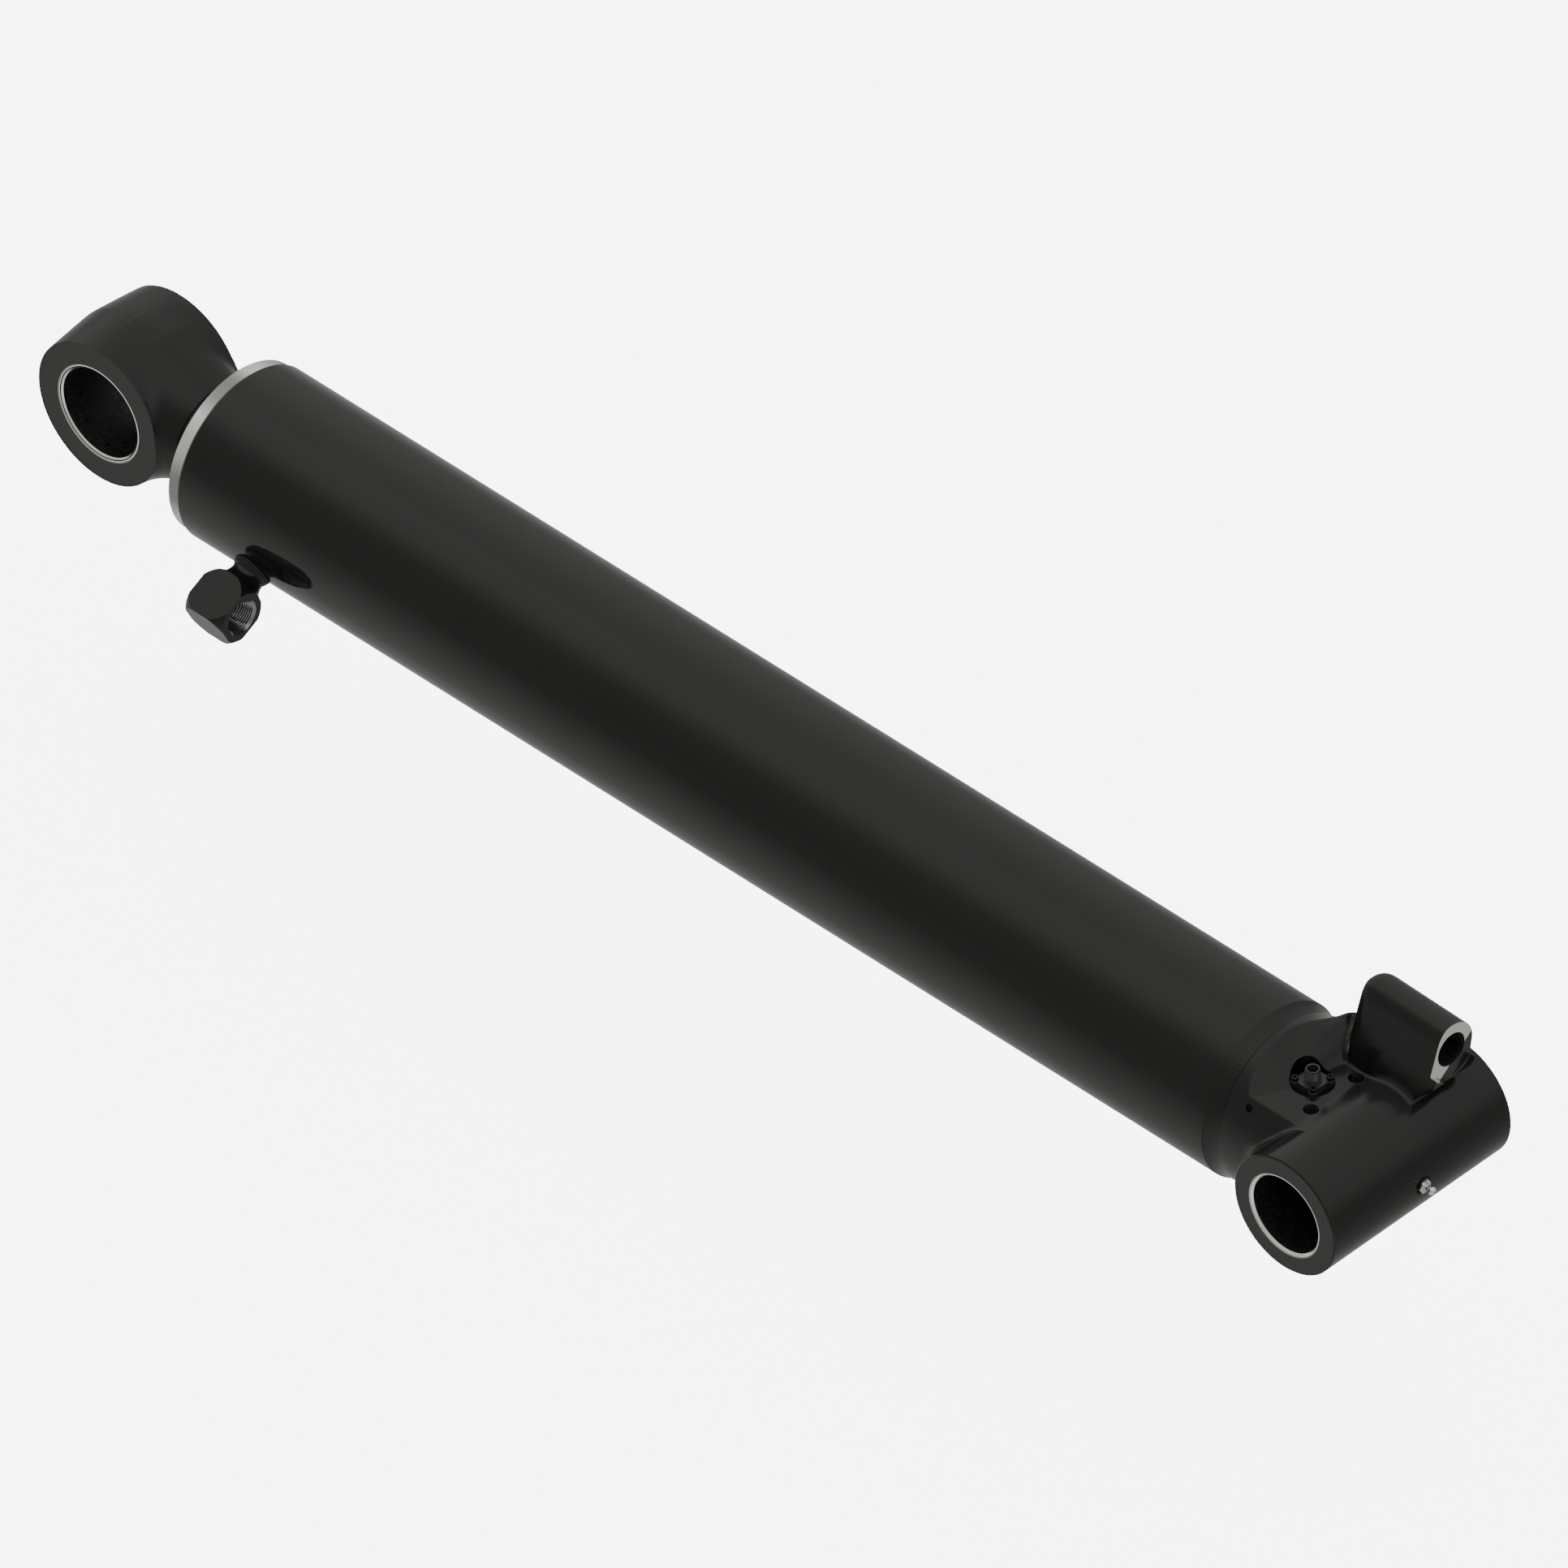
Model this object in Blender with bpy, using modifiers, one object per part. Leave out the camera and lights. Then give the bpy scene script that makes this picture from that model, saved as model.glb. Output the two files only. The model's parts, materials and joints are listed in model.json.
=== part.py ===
"""Two-stage telescopic hydraulic cylinder, double acting, with both ports on the barrel, closed.

World axes: the cylinder's axis is X, with the origin at the centre of the base pin. The rod leaves
towards -X. Both pins lie along Y, and Z is up. A station is a distance from the base pin along the
axis, towards the rod eye, so that station = -X.

The retract oil enters at the head port, passes through the cross holes beside the stage piston, runs
forward between the two walls of the stage, and enters the space around the rod behind the stage gland.
"""

import math

import bmesh
import bpy
from mathutils import Matrix, Vector

# Everything is in metres.
GAP = 0.0003
ROUND = 24
ROUND_LARGE = 32
ROUND_SMALL = 16
SHARP_ANGLE = math.radians(32)

# Lengths along the axis
PIN_TO_PIN = 1.158
BARREL_HEAD = 1.058
BARREL_BASE = 0.093
GLAND_FRONT = 1.068
GLAND_INNER = 1.004
STAGE_FRONT = 1.074
HEAD_PORT = 0.993
STAGE_STROKE = 0.810
ROD_STROKE = 0.800

# Barrel and the two moving stages
BARREL_RADIUS = 0.0675
BARREL_BORE = 0.0575
GLAND_RADIUS = 0.0657
STAGE_RADIUS = 0.050
STAGE_BORE = 0.044
LINER_RADIUS = 0.042
LINER_BORE = 0.0375
ROD_RADIUS = 0.030
ROD_SPIGOT = 0.020
RUNNING_GAP = 0.0005
METAL_GAP = 0.0008

# Base casting
NECK_RADIUS = 0.0646
NECK_START = 0.084
SPIGOT_FACE = 0.113
WELD_FLOOR = 0.0585
EYE_RADIUS = 0.0467
EYE_HALF_WIDTH = 0.0875
EYE_BORE = 0.0324
BASE_PIN_RADIUS = 0.030
PAD_HEIGHT = 0.042
PAD_HOLE_RADIUS = 0.00425
PAD_HOLE_DEPTH = 0.018
PAD_HOLES = ((-0.029, -0.0307), (-0.029, 0.0138))

# Base port
BOSS_Y = 0.049
BOSS_Z = 0.0784
BOSS_RADIUS = 0.0208
BOSS_WALL_ANGLE = 119.7
BOSS_FACE = 0.026
BOSS_LIP = 0.031
BOSS_REAR = -0.0515
BOSS_DRAFT = 0.0012
BOSS_FOOT_Z = 0.020
BOSS_FRONT_FOOT = 0.0125
BOSS_REAR_FOOT = 0.061
BOSS_TIP_X = 0.0155
BOSS_TIP_Z = 0.044
BOSS_LIP_RISE = 0.030
BOSS_FRONT_SLOPE = 1.12
SPOTFACE_RADIUS = 0.0243
PORT_RADIUS = 0.0116
PORT_DEPTH = 0.022
GALLERY_RADIUS = 0.007
GALLERY_OFFSET = 0.038
GALLERY_X = -0.050
NIPPLE_HOLE = 0.0043
NIPPLE_SPOTFACE = 0.0445
NIPPLE_SPOT_RADIUS = 0.007

# Head port elbow
ELBOW_REACH = 0.100
ELBOW_DROP = math.radians(27.0)
ELBOW_HALF = 0.0178
ELBOW_SPHERE = 0.0260
ELBOW_NECK = 0.0124
HEAD_THREAD_RADIUS = 0.0121
HEAD_DRILL = 0.008

# Rod eye
ROD_EYE_HALF_WIDTH = 0.0405
ROD_EYE_SIDE = 0.0565
ROD_EYE_CREST = 0.0604
ROD_EYE_BORE = 0.0382
ROD_PIN_RADIUS = 0.035
ROD_CONE_START = 0.019
ROD_CONE_END = 0.070
ROD_CONE_RADIUS = 0.0590
ROD_CONE_SLOPE = 0.4286
ROD_EYE_FULLNESS = 1.12

# Position sensor in the base
SENSOR_X = -0.0473
SENSOR_Y = -0.0095
POCKET_RADIUS = 0.0155
POCKET_FLOOR = 0.0385
LEAD_RADIUS = 0.0022
LEAD_HOLE = 0.0034
SCREW_HOLE = 0.0018
SCREW_SHANK = 0.0014
SCREW_HEAD = 0.0026
SCREW_HEAD_HEIGHT = 0.0024
SET_SCREW_RADIUS = 0.0021
SET_SCREW_HOLE = 0.0025
SENSOR_CAVITY = 0.020
CAVITY_END = 0.043
FLANGE_TOP = 0.0445
FLANGE_HALF = 0.0095
FLANGE_LOBE = 0.0031
SCREW_OFFSET = 0.0085
CONNECTOR_RADIUS = 0.0057
CONNECTOR_BORE = 0.0038
CONTACT_LOW = 0.0410
CONTACT_HIGH = 0.0492
CONNECTOR_TOP = 0.0544
SET_SCREW_X = -0.0645
SET_SCREW_RISE = math.radians(33.8)

# Each groove is (low station, high station, depth), and its ring is (name, finish)
GLAND_GROOVES = [
    (1.0100, 1.0260, 0.0028),
    (1.0320, 1.0400, 0.0046),
    (1.0450, 1.0550, 0.0028),
    (1.0600, 1.0655, 0.0042),
]
GLAND_RINGS = [
    ("gland_guide_ring_inner", "guide_composite"),
    ("gland_rod_seal", "seal_polyurethane"),
    ("gland_guide_ring_outer", "guide_composite"),
    ("gland_wiper", "seal_polyurethane"),
]
GLAND_O_RING = (1.0268, 1.0312, 0.0032)

# First stage
STAGE_PISTON_REAR = 0.1165
STAGE_END_CLEARANCE = 0.004
STAGE_PISTON_FRONT = GLAND_INNER - STAGE_STROKE - STAGE_END_CLEARANCE
STAGE_NOSE = 0.160
STAGE_TUBE_END = 0.1503
STAGE_TUBE_SPIGOT = 0.047
LINER_END = 0.1353
LINER_HEAD = 1.0057
STAGE_GLAND_INNER = 0.996
STAGE_GLAND_RIM = STAGE_FRONT - 0.0071
STAGE_PISTON_GROOVES = [
    (0.1200, 0.1280, 0.0028),
    (0.1320, 0.1420, 0.0042),
    (0.1460, 0.1540, 0.0028),
]
STAGE_PISTON_RINGS = [
    ("stage_wear_ring_rear", "guide_composite"),
    ("stage_piston_seal", "seal_polyurethane"),
    ("stage_wear_ring_front", "guide_composite"),
]
STAGE_GLAND_GROOVES = [
    (1.0140, 1.0280, 0.0026),
    (1.0340, 1.0410, 0.0042),
    (1.0470, 1.0550, 0.0026),
    (1.0660, 1.0712, 0.0040),
]
STAGE_GLAND_RINGS = [
    ("stage_gland_guide_inner", "guide_composite"),
    ("stage_gland_rod_seal", "seal_polyurethane"),
    ("stage_gland_guide_outer", "guide_composite"),
    ("stage_gland_wiper", "seal_polyurethane"),
]
STAGE_GLAND_O_RING = (1.0285, 1.0327, 0.0032)

# Rod piston
ROD_PISTON_REAR = 0.1375
ROD_END_CLEARANCE = 0.009
ROD_PISTON_FRONT = STAGE_GLAND_INNER - ROD_STROKE - ROD_END_CLEARANCE
ROD_PISTON_NOSE = 0.172
ROD_TAIL = 0.1205
NUT_RADIUS = 0.027
ROD_PISTON_GROOVES = [
    (0.1405, 0.1475, 0.0028),
    (0.1510, 0.1590, 0.0042),
    (0.1625, 0.1695, 0.0028),
]
ROD_PISTON_RINGS = [
    ("rod_wear_ring_rear", "guide_composite"),
    ("rod_piston_seal", "seal_polyurethane"),
    ("rod_wear_ring_front", "guide_composite"),
]
ROD_O_RING = (0.1800, 0.1836, 0.0024)

# Colour, metallic and roughness of each finish
FINISHES = {
    "black_paint": ((0.013, 0.013, 0.012), 0.0, 0.22),
    "bright_steel": ((0.62, 0.61, 0.59), 1.0, 0.25),
    "machined_steel": ((0.52, 0.51, 0.50), 1.0, 0.35),
    "hard_chrome": ((0.72, 0.73, 0.74), 1.0, 0.08),
    "honed_steel": ((0.36, 0.36, 0.37), 1.0, 0.30),
    "cast_iron": ((0.16, 0.16, 0.16), 0.8, 0.50),
    "bushing_steel": ((0.60, 0.59, 0.57), 1.0, 0.30),
    "zinc_steel": ((0.70, 0.70, 0.68), 1.0, 0.22),
    "black_oxide_steel": ((0.03, 0.03, 0.03), 0.9, 0.35),
    "seal_rubber": ((0.02, 0.02, 0.02), 0.0, 0.60),
    "seal_polyurethane": ((0.05, 0.12, 0.20), 0.0, 0.40),
    "guide_composite": ((0.28, 0.13, 0.06), 0.0, 0.55),
    "sensor_plastic": ((0.02, 0.02, 0.02), 0.0, 0.45),
}


def clear_scene():
    for obj in list(bpy.data.objects):
        bpy.data.objects.remove(obj, do_unlink=True)


def new_collection(name):
    collection = bpy.data.collections.new(name)
    bpy.context.scene.collection.children.link(collection)
    return collection


def make_finish(name):
    colour, metallic, roughness = FINISHES[name]
    material = bpy.data.materials.new(name)
    material.use_nodes = True
    shader = material.node_tree.nodes["Principled BSDF"]
    shader.inputs["Base Color"].default_value = (*colour, 1.0)
    shader.inputs["Metallic"].default_value = metallic
    shader.inputs["Roughness"].default_value = roughness
    material.diffuse_color = (*colour, 1.0)
    return material


clear_scene()
PARTS = new_collection("telescopic_hydraulic_cylinder")
CUTTERS = new_collection("cutters")
MATERIALS = {name: make_finish(name) for name in FINISHES}


def empty(name, location=(0, 0, 0), rotation=(0, 0, 0), parent=None):
    helper = bpy.data.objects.new(name, None)
    helper.empty_display_size = 0.05
    helper.location = location
    helper.rotation_euler = rotation
    helper.parent = parent
    PARTS.objects.link(helper)
    return helper


# Each axis frame's own Z is the line that its pieces turn about: towards the rod, or along a pin.
BARREL_AXIS = empty("barrel_axis", rotation=(0, -math.pi / 2, 0))
STAGE_AXIS = empty("stage_axis", parent=BARREL_AXIS)
ROD_AXIS = empty("rod_axis", parent=STAGE_AXIS)
BASE_PIN_AXIS = empty("base_pin_axis", rotation=(-math.pi / 2, 0, 0))
ROD_PIN_AXIS = empty("rod_pin_axis", location=(0, 0, PIN_TO_PIN), parent=ROD_AXIS)
ROD_PIN_AXIS.rotation_euler = (-math.pi / 2, 0, 0)


def add_object(name, mesh, finish=None, parent=None):
    """A part where a finish is given, and otherwise a cutter."""
    obj = bpy.data.objects.new(name, mesh)
    obj.parent = parent
    if finish:
        mesh.materials.append(MATERIALS[finish])
        PARTS.objects.link(obj)
        return obj
    CUTTERS.objects.link(obj)
    obj.hide_render = True
    obj.display_type = "WIRE"
    return obj


def turned(name, profile, finish=None, parent=None, segments=ROUND):
    """Turns (radius, height) points about the parent's Z. They run down the outer side, top to bottom."""
    mesh = bpy.data.meshes.new(name)
    count = len(profile)
    touches_axis = profile[0][0] == 0
    edges = [(i, i + 1) for i in range(count - 1)]
    if not touches_axis:
        edges.append((count - 1, 0))
    mesh.from_pydata([(radius, 0, height) for radius, height in profile], edges, [])
    obj = add_object(name, mesh, finish, parent)
    screw = obj.modifiers.new("turn", "SCREW")
    screw.axis = "Z"
    screw.steps = segments
    screw.render_steps = segments
    screw.use_smooth_shade = True
    screw.use_merge_vertices = True
    screw.merge_threshold = 0.00001
    return obj


def ring(name, inner, outer, low, high, finish=None, parent=None, segments=ROUND):
    """A turned ring of rectangular section."""
    profile = [(inner, high), (outer, high), (outer, low), (inner, low)]
    return turned(name, profile, finish, parent, segments)


def from_bmesh(name, shape, finish=None, parent=None):
    mesh = bpy.data.meshes.new(name)
    bmesh.ops.recalc_face_normals(shape, faces=shape.faces)
    shape.to_mesh(mesh)
    shape.free()
    return add_object(name, mesh, finish, parent)


def box(name, low, high, finish=None, parent=None):
    low = Vector(low)
    high = Vector(high)
    shape = bmesh.new()
    place = Matrix.Translation((low + high) / 2) @ Matrix.Diagonal((*(high - low), 1.0))
    bmesh.ops.create_cube(shape, size=1.0, matrix=place)
    return from_bmesh(name, shape, finish, parent)


def bar(name, radius, start, end, finish=None, parent=None, segments=ROUND_SMALL):
    """A round or polygonal bar between two points."""
    start = Vector(start)
    end = Vector(end)
    along = end - start
    shape = bmesh.new()
    place = Matrix.Translation((start + end) / 2) @ along.to_track_quat("Z", "Y").to_matrix().to_4x4()
    bmesh.ops.create_cone(
        shape,
        cap_ends=True,
        segments=segments,
        radius1=radius,
        radius2=radius,
        depth=along.length,
        matrix=place,
    )
    return from_bmesh(name, shape, finish, parent)


def prism(name, outline, low, high, lean=(0, 0, 0), finish=None, parent=None):
    """Extrudes an outline in the XY plane from low to high. The top is moved sideways by lean."""
    shape = bmesh.new()
    bottom = [shape.verts.new((x, y, low)) for x, y in outline]
    face = shape.faces.new(bottom)
    extruded = bmesh.ops.extrude_face_region(shape, geom=[face])
    top = [item for item in extruded["geom"] if isinstance(item, bmesh.types.BMVert)]
    bmesh.ops.translate(shape, verts=top, vec=Vector(lean) + Vector((0, 0, high - low)))
    return from_bmesh(name, shape, finish, parent)


def combine(target, tool, operation="DIFFERENCE"):
    modifier = target.modifiers.new(f"{operation.lower()} {tool.name}", "BOOLEAN")
    modifier.operation = operation
    modifier.solver = "EXACT"
    modifier.object = tool
    return target


def arc(centre, radius, start, end, count):
    """Points on a circle, with both ends. The angles are in degrees from the first coordinate."""
    steps = [start + (end - start) * i / (count - 1) for i in range(count)]
    angles = [math.radians(step) for step in steps]
    return [(centre[0] + radius * math.cos(a), centre[1] + radius * math.sin(a)) for a in angles]


# Barrel


def barrel_tube():
    chamfer = 0.0015
    weld_chamfer = 0.003
    profile = [
        (BARREL_BORE, BARREL_HEAD),
        (BARREL_RADIUS - chamfer, BARREL_HEAD),
        (BARREL_RADIUS, BARREL_HEAD - chamfer),
        (BARREL_RADIUS, BARREL_BASE + weld_chamfer),
        (BARREL_RADIUS - weld_chamfer, BARREL_BASE),
        (BARREL_BORE, BARREL_BASE),
    ]
    tube = turned("barrel_tube", profile, "black_paint", BARREL_AXIS, ROUND_LARGE)
    outward = elbow_direction()
    centre = Vector((-HEAD_PORT, 0, 0))
    drill = bar("head_port_drill", HEAD_DRILL, centre + outward * STAGE_RADIUS, centre + outward * 0.080)
    return combine(tube, drill)


def base_weld_bead():
    bulge = 0.0008
    sunk = 0.0012
    low = NECK_START + GAP
    high = BARREL_BASE - GAP
    inner = WELD_FLOOR + RUNNING_GAP
    outer = NECK_RADIUS - sunk
    profile = [
        (inner, high),
        (outer, high),
        (outer + bulge, (low + high) / 2),
        (outer, low),
        (inner, low),
    ]
    return turned("base_weld_bead", profile, "black_paint", BARREL_AXIS, ROUND_LARGE)


# Base casting


def neck():
    """The round body between barrel and eye, before its pad and underside are cut."""
    chamfer = 0.0015
    spigot = BARREL_BORE - GAP
    inner_end = 0.002
    profile = [
        (0, SPIGOT_FACE),
        (spigot - chamfer, SPIGOT_FACE),
        (spigot, SPIGOT_FACE - chamfer),
        (spigot, BARREL_BASE - GAP),
        (WELD_FLOOR, BARREL_BASE - 2 * GAP),
        (WELD_FLOOR, NECK_START),
        (NECK_RADIUS - chamfer, NECK_START),
        (NECK_RADIUS, NECK_START - chamfer),
        (NECK_RADIUS, inner_end),
        (0, inner_end),
    ]
    return turned("neck", profile, None, BARREL_AXIS, ROUND_LARGE)


def pad_cutter():
    """What the casting lacks above its pad: the end towards the barrel is a sloping, curved wall."""
    outline = [
        (0.060, -0.070),
        (-0.070, -0.070),
        (-0.070, -0.049),
        (-0.0625, -0.036),
        (-0.0557, -0.0227),
        (-0.0518, -0.007),
        (-0.0502, 0.0097),
        (-0.0480, 0.024),
        (-0.0470, 0.050),
        (0.060, 0.050),
    ]
    rise = 0.030
    return prism("pad_cutter", outline, PAD_HEIGHT, PAD_HEIGHT + rise, (-1.15 * rise, 0, 0))


def underside_cutter():
    """A wedge below the line from the neck's rim to the underside of the eye. The outline is in X and Z."""
    outline = [(-0.078, -0.0647), (0.012, -0.0452), (0.012, -0.080), (-0.078, -0.080)]
    shape = prism("underside_cutter", outline, -0.070, 0.070)
    shape.rotation_euler = (math.pi / 2, 0, 0)
    return shape


def boss_outline(grow):
    """The boss in Y and Z: a round top on a wall that slants outwards, moved up and out by a draft."""
    crest = arc((BOSS_Y + grow, BOSS_Z + grow), BOSS_RADIUS, 0, BOSS_WALL_ANGLE, 12)
    return [(BOSS_REAR_FOOT, BOSS_FOOT_Z), *crest, (BOSS_FRONT_FOOT, BOSS_FOOT_Z)]


def boss_front_cutter():
    """The boss's front end slopes back below its port face. The outline is in X and Z."""
    run = BOSS_FRONT_SLOPE * BOSS_LIP_RISE
    low = (BOSS_TIP_X - run, BOSS_TIP_Z - BOSS_LIP_RISE)
    high = (BOSS_TIP_X + run, BOSS_TIP_Z + BOSS_LIP_RISE)
    outline = [low, high, (high[0] + 0.010, low[1])]
    shape = prism("boss_front_cutter", outline, -0.080, 0.080)
    shape.rotation_euler = (math.pi / 2, 0, 0)
    return shape


def port_boss():
    """The raised body of the base port, with its spotface."""
    boss = prism("port_boss", boss_outline(BOSS_DRAFT), BOSS_REAR, BOSS_LIP, (-BOSS_DRAFT, -BOSS_DRAFT, 0))
    boss.matrix_world = Matrix(((0, 0, 1, 0), (1, 0, 0, 0), (0, 1, 0, 0), (0, 0, 0, 1)))
    combine(boss, boss_front_cutter())
    start = (BOSS_FACE, BOSS_Y, BOSS_Z)
    end = (BOSS_FACE + 0.030, BOSS_Y, BOSS_Z)
    return combine(boss, bar("spotface_cutter", SPOTFACE_RADIUS, start, end, segments=ROUND))


def base_eye():
    """The solid cross tube. Its bore is cut once the neck has joined it."""
    chamfer = 0.001
    end = EYE_HALF_WIDTH
    profile = [
        (0, end),
        (EYE_RADIUS - chamfer, end),
        (EYE_RADIUS, end - chamfer),
        (EYE_RADIUS, chamfer - end),
        (EYE_RADIUS - chamfer, -end),
        (0, -end),
    ]
    return turned("base_casting", profile, "black_paint", BASE_PIN_AXIS, ROUND_LARGE)


def drill_oil_gallery(casting):
    """Base port, then a radial drilling, then one along the axis that opens at the spigot face."""
    inward = Vector((0, -BOSS_Y, -BOSS_Z)).normalized()
    port_end = Vector((GALLERY_X - GALLERY_RADIUS, BOSS_Y, BOSS_Z))
    corner = Vector((GALLERY_X, BOSS_Y, BOSS_Z))
    turn = Vector((GALLERY_X, 0, 0)) - inward * GALLERY_OFFSET
    mouth = Vector((-SPIGOT_FACE - 0.005, turn.y, turn.z))
    face = Vector((BOSS_FACE + 0.010, BOSS_Y, BOSS_Z))
    thread_end = face - Vector((PORT_DEPTH + 0.010, 0, 0))
    drill_end = thread_end + Vector((0.001, 0, 0))
    combine(casting, bar("base_port_thread", PORT_RADIUS, thread_end, face, segments=ROUND))
    combine(casting, bar("base_port_drill", GALLERY_RADIUS + 0.001, port_end, drill_end))
    combine(casting, bar("gallery_radial", GALLERY_RADIUS, corner, turn + inward * 0.004))
    combine(casting, bar("gallery_axial", GALLERY_RADIUS - 0.0005, turn, mouth))


def drill_pad(casting):
    for number, (x, y) in enumerate(PAD_HOLES, 1):
        floor = (x, y, PAD_HEIGHT - PAD_HOLE_DEPTH)
        hole = bar(f"pad_hole_{number}", PAD_HOLE_RADIUS, floor, (x, y, PAD_HEIGHT + 0.010), segments=16)
        combine(casting, hole)


def set_screw_direction():
    return Vector((0, -math.cos(SET_SCREW_RISE), math.sin(SET_SCREW_RISE)))


def screw_places():
    signs = ((-1, -1), (1, -1), (1, 1), (-1, 1))
    return [(SENSOR_X + a * SCREW_OFFSET, SENSOR_Y + b * SCREW_OFFSET) for a, b in signs]


def upright(name, radius, x, y, low, high, finish=None, segments=ROUND_SMALL):
    """A bar that stands along Z."""
    return bar(name, radius, (x, y, low), (x, y, high), finish, segments=segments)


def drill_sensor(casting):
    """The connector's pocket and screw holes, the lead's hole, and the sensor's cavity and set screw hole."""
    centre = (SENSOR_X, SENSOR_Y)
    combine(casting, upright("sensor_pocket", POCKET_RADIUS, *centre, POCKET_FLOOR, 0.080, segments=ROUND))
    combine(casting, upright("lead_hole", LEAD_HOLE, *centre, 0.010, 0.045, segments=12))
    mouth = (-SPIGOT_FACE - 0.005, 0, 0)
    combine(casting, bar("sensor_cavity", SENSOR_CAVITY, (-CAVITY_END, 0, 0), mouth, segments=ROUND))
    for number, (x, y) in enumerate(screw_places(), 1):
        combine(casting, upright(f"flange_screw_hole_{number}", SCREW_HOLE, x, y, 0.029, 0.045, segments=8))
    centre = Vector((SET_SCREW_X, 0, 0))
    out = set_screw_direction()
    hole = bar("set_screw_hole", SET_SCREW_HOLE, centre + out * 0.015, centre + out * 0.075, segments=12)
    combine(casting, hole)


def drill_grease(casting):
    floor = (NIPPLE_SPOTFACE, 0, 0)
    combine(casting, bar("nipple_hole", NIPPLE_HOLE, (0.025, 0, 0), (0.050, 0, 0), segments=12))
    combine(casting, bar("nipple_spotface", NIPPLE_SPOT_RADIUS, floor, (0.060, 0, 0), segments=20))


def base_casting():
    casting = base_eye()
    body = neck()
    combine(body, pad_cutter())
    combine(body, underside_cutter())
    combine(body, port_boss(), "UNION")
    bore = bar(
        "eye_bore_cutter",
        EYE_BORE,
        (0, -EYE_HALF_WIDTH - 0.010, 0),
        (0, EYE_HALF_WIDTH + 0.010, 0),
        segments=ROUND_LARGE,
    )
    combine(casting, body, "UNION")
    combine(casting, bore)
    drill_oil_gallery(casting)
    drill_pad(casting)
    drill_sensor(casting)
    drill_grease(casting)
    return casting


def bushing(name, bore, outer, low, high, parent, chamfer_low, chamfer_high):
    """A plain bushing. Its bore is chamfered at each end that faces outwards."""
    chamfer = 0.0015
    profile = [
        (bore + chamfer * chamfer_high, high),
        (outer, high),
        (outer, low),
        (bore + chamfer * chamfer_low, low),
    ]
    if chamfer_low:
        profile.append((bore, low + chamfer))
    if chamfer_high:
        profile.append((bore, high - chamfer))
    return turned(name, profile, "bushing_steel", parent, ROUND_LARGE)


def base_bushings():
    inner_end = 0.015
    outer_end = EYE_HALF_WIDTH - GAP
    outer = EYE_BORE - GAP
    bushing("base_bushing_rear", BASE_PIN_RADIUS, outer, inner_end, outer_end, BASE_PIN_AXIS, 0, 1)
    bushing("base_bushing_front", BASE_PIN_RADIUS, outer, -outer_end, -inner_end, BASE_PIN_AXIS, 1, 0)


def grease_nipple():
    axis = empty("nipple_axis", rotation=(0, math.pi / 2, 0))
    profile = [
        (0, 0.0574),
        (0.0016, 0.0574),
        *arc((0, 0.0546), 0.0032, 58, -40, 5),
        (0.0022, 0.0510),
        (0.0026, 0.0490),
        (0.0040, 0.0484),
        (0.0040, 0.0352),
        (0.0032, 0.0344),
        (0, 0.0344),
    ]
    nipple = turned("base_grease_nipple", profile, "zinc_steel", axis, 12)
    return combine(nipple, bar("nipple_hex", 0.0056, (0.0448, 0, 0), (0.0490, 0, 0), segments=6), "UNION")


# Position sensor


def sensor_flange():
    bottom = POCKET_FLOOR + GAP
    corner = Vector((FLANGE_HALF, FLANGE_HALF, 0))
    centre = Vector((SENSOR_X, SENSOR_Y, 0))
    flange = box(
        "sensor_flange",
        centre - corner + Vector((0, 0, bottom)),
        centre + corner + Vector((0, 0, FLANGE_TOP)),
        "sensor_plastic",
    )
    for number, (x, y) in enumerate(screw_places(), 1):
        lobe = upright(f"flange_lobe_{number}", FLANGE_LOBE, x, y, bottom, FLANGE_TOP, segments=12)
        combine(flange, lobe, "UNION")
    middle = (SENSOR_X, SENSOR_Y)
    tube_low = bottom + 0.001
    tube = upright("connector_tube", CONNECTOR_RADIUS, *middle, tube_low, CONNECTOR_TOP, segments=20)
    combine(flange, tube, "UNION")
    for number, (x, y) in enumerate(screw_places(), 1):
        combine(flange, upright(f"flange_hole_{number}", SCREW_HOLE, x, y, 0.035, 0.050, segments=8))
    return combine(flange, upright("connector_bore", CONNECTOR_BORE, *middle, 0.030, 0.060))


def contact_insert():
    size = (CONNECTOR_BORE - GAP, SENSOR_X, SENSOR_Y, CONTACT_LOW, CONTACT_HIGH)
    return upright("sensor_contact_insert", *size, "sensor_plastic")


def connector_screws():
    """Four small socket-head screws. Each shank reaches into the casting."""
    base = FLANGE_TOP + GAP
    top = base + SCREW_HEAD_HEIGHT
    for number, (x, y) in enumerate(screw_places(), 1):
        name = f"connector_screw_{number}"
        screw = upright(name, SCREW_HEAD, x, y, base, top, "black_oxide_steel", segments=12)
        combine(screw, upright(f"{name}_shank", SCREW_SHANK, x, y, 0.031, base + 0.001, segments=8), "UNION")
        combine(screw, upright(f"{name}_socket", SCREW_SHANK, x, y, base + 0.0012, top + 0.001, segments=6))


def sensor_lead():
    """From the contact insert down to the sensor unit, whose round side it stops short of."""
    inner_side = abs(SENSOR_Y) - LEAD_RADIUS
    low = math.sqrt(SENSOR_CAVITY**2 - inner_side**2) + GAP
    high = CONTACT_LOW - GAP
    return upright("sensor_lead", LEAD_RADIUS, SENSOR_X, SENSOR_Y, low, high, "seal_rubber", segments=10)


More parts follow.
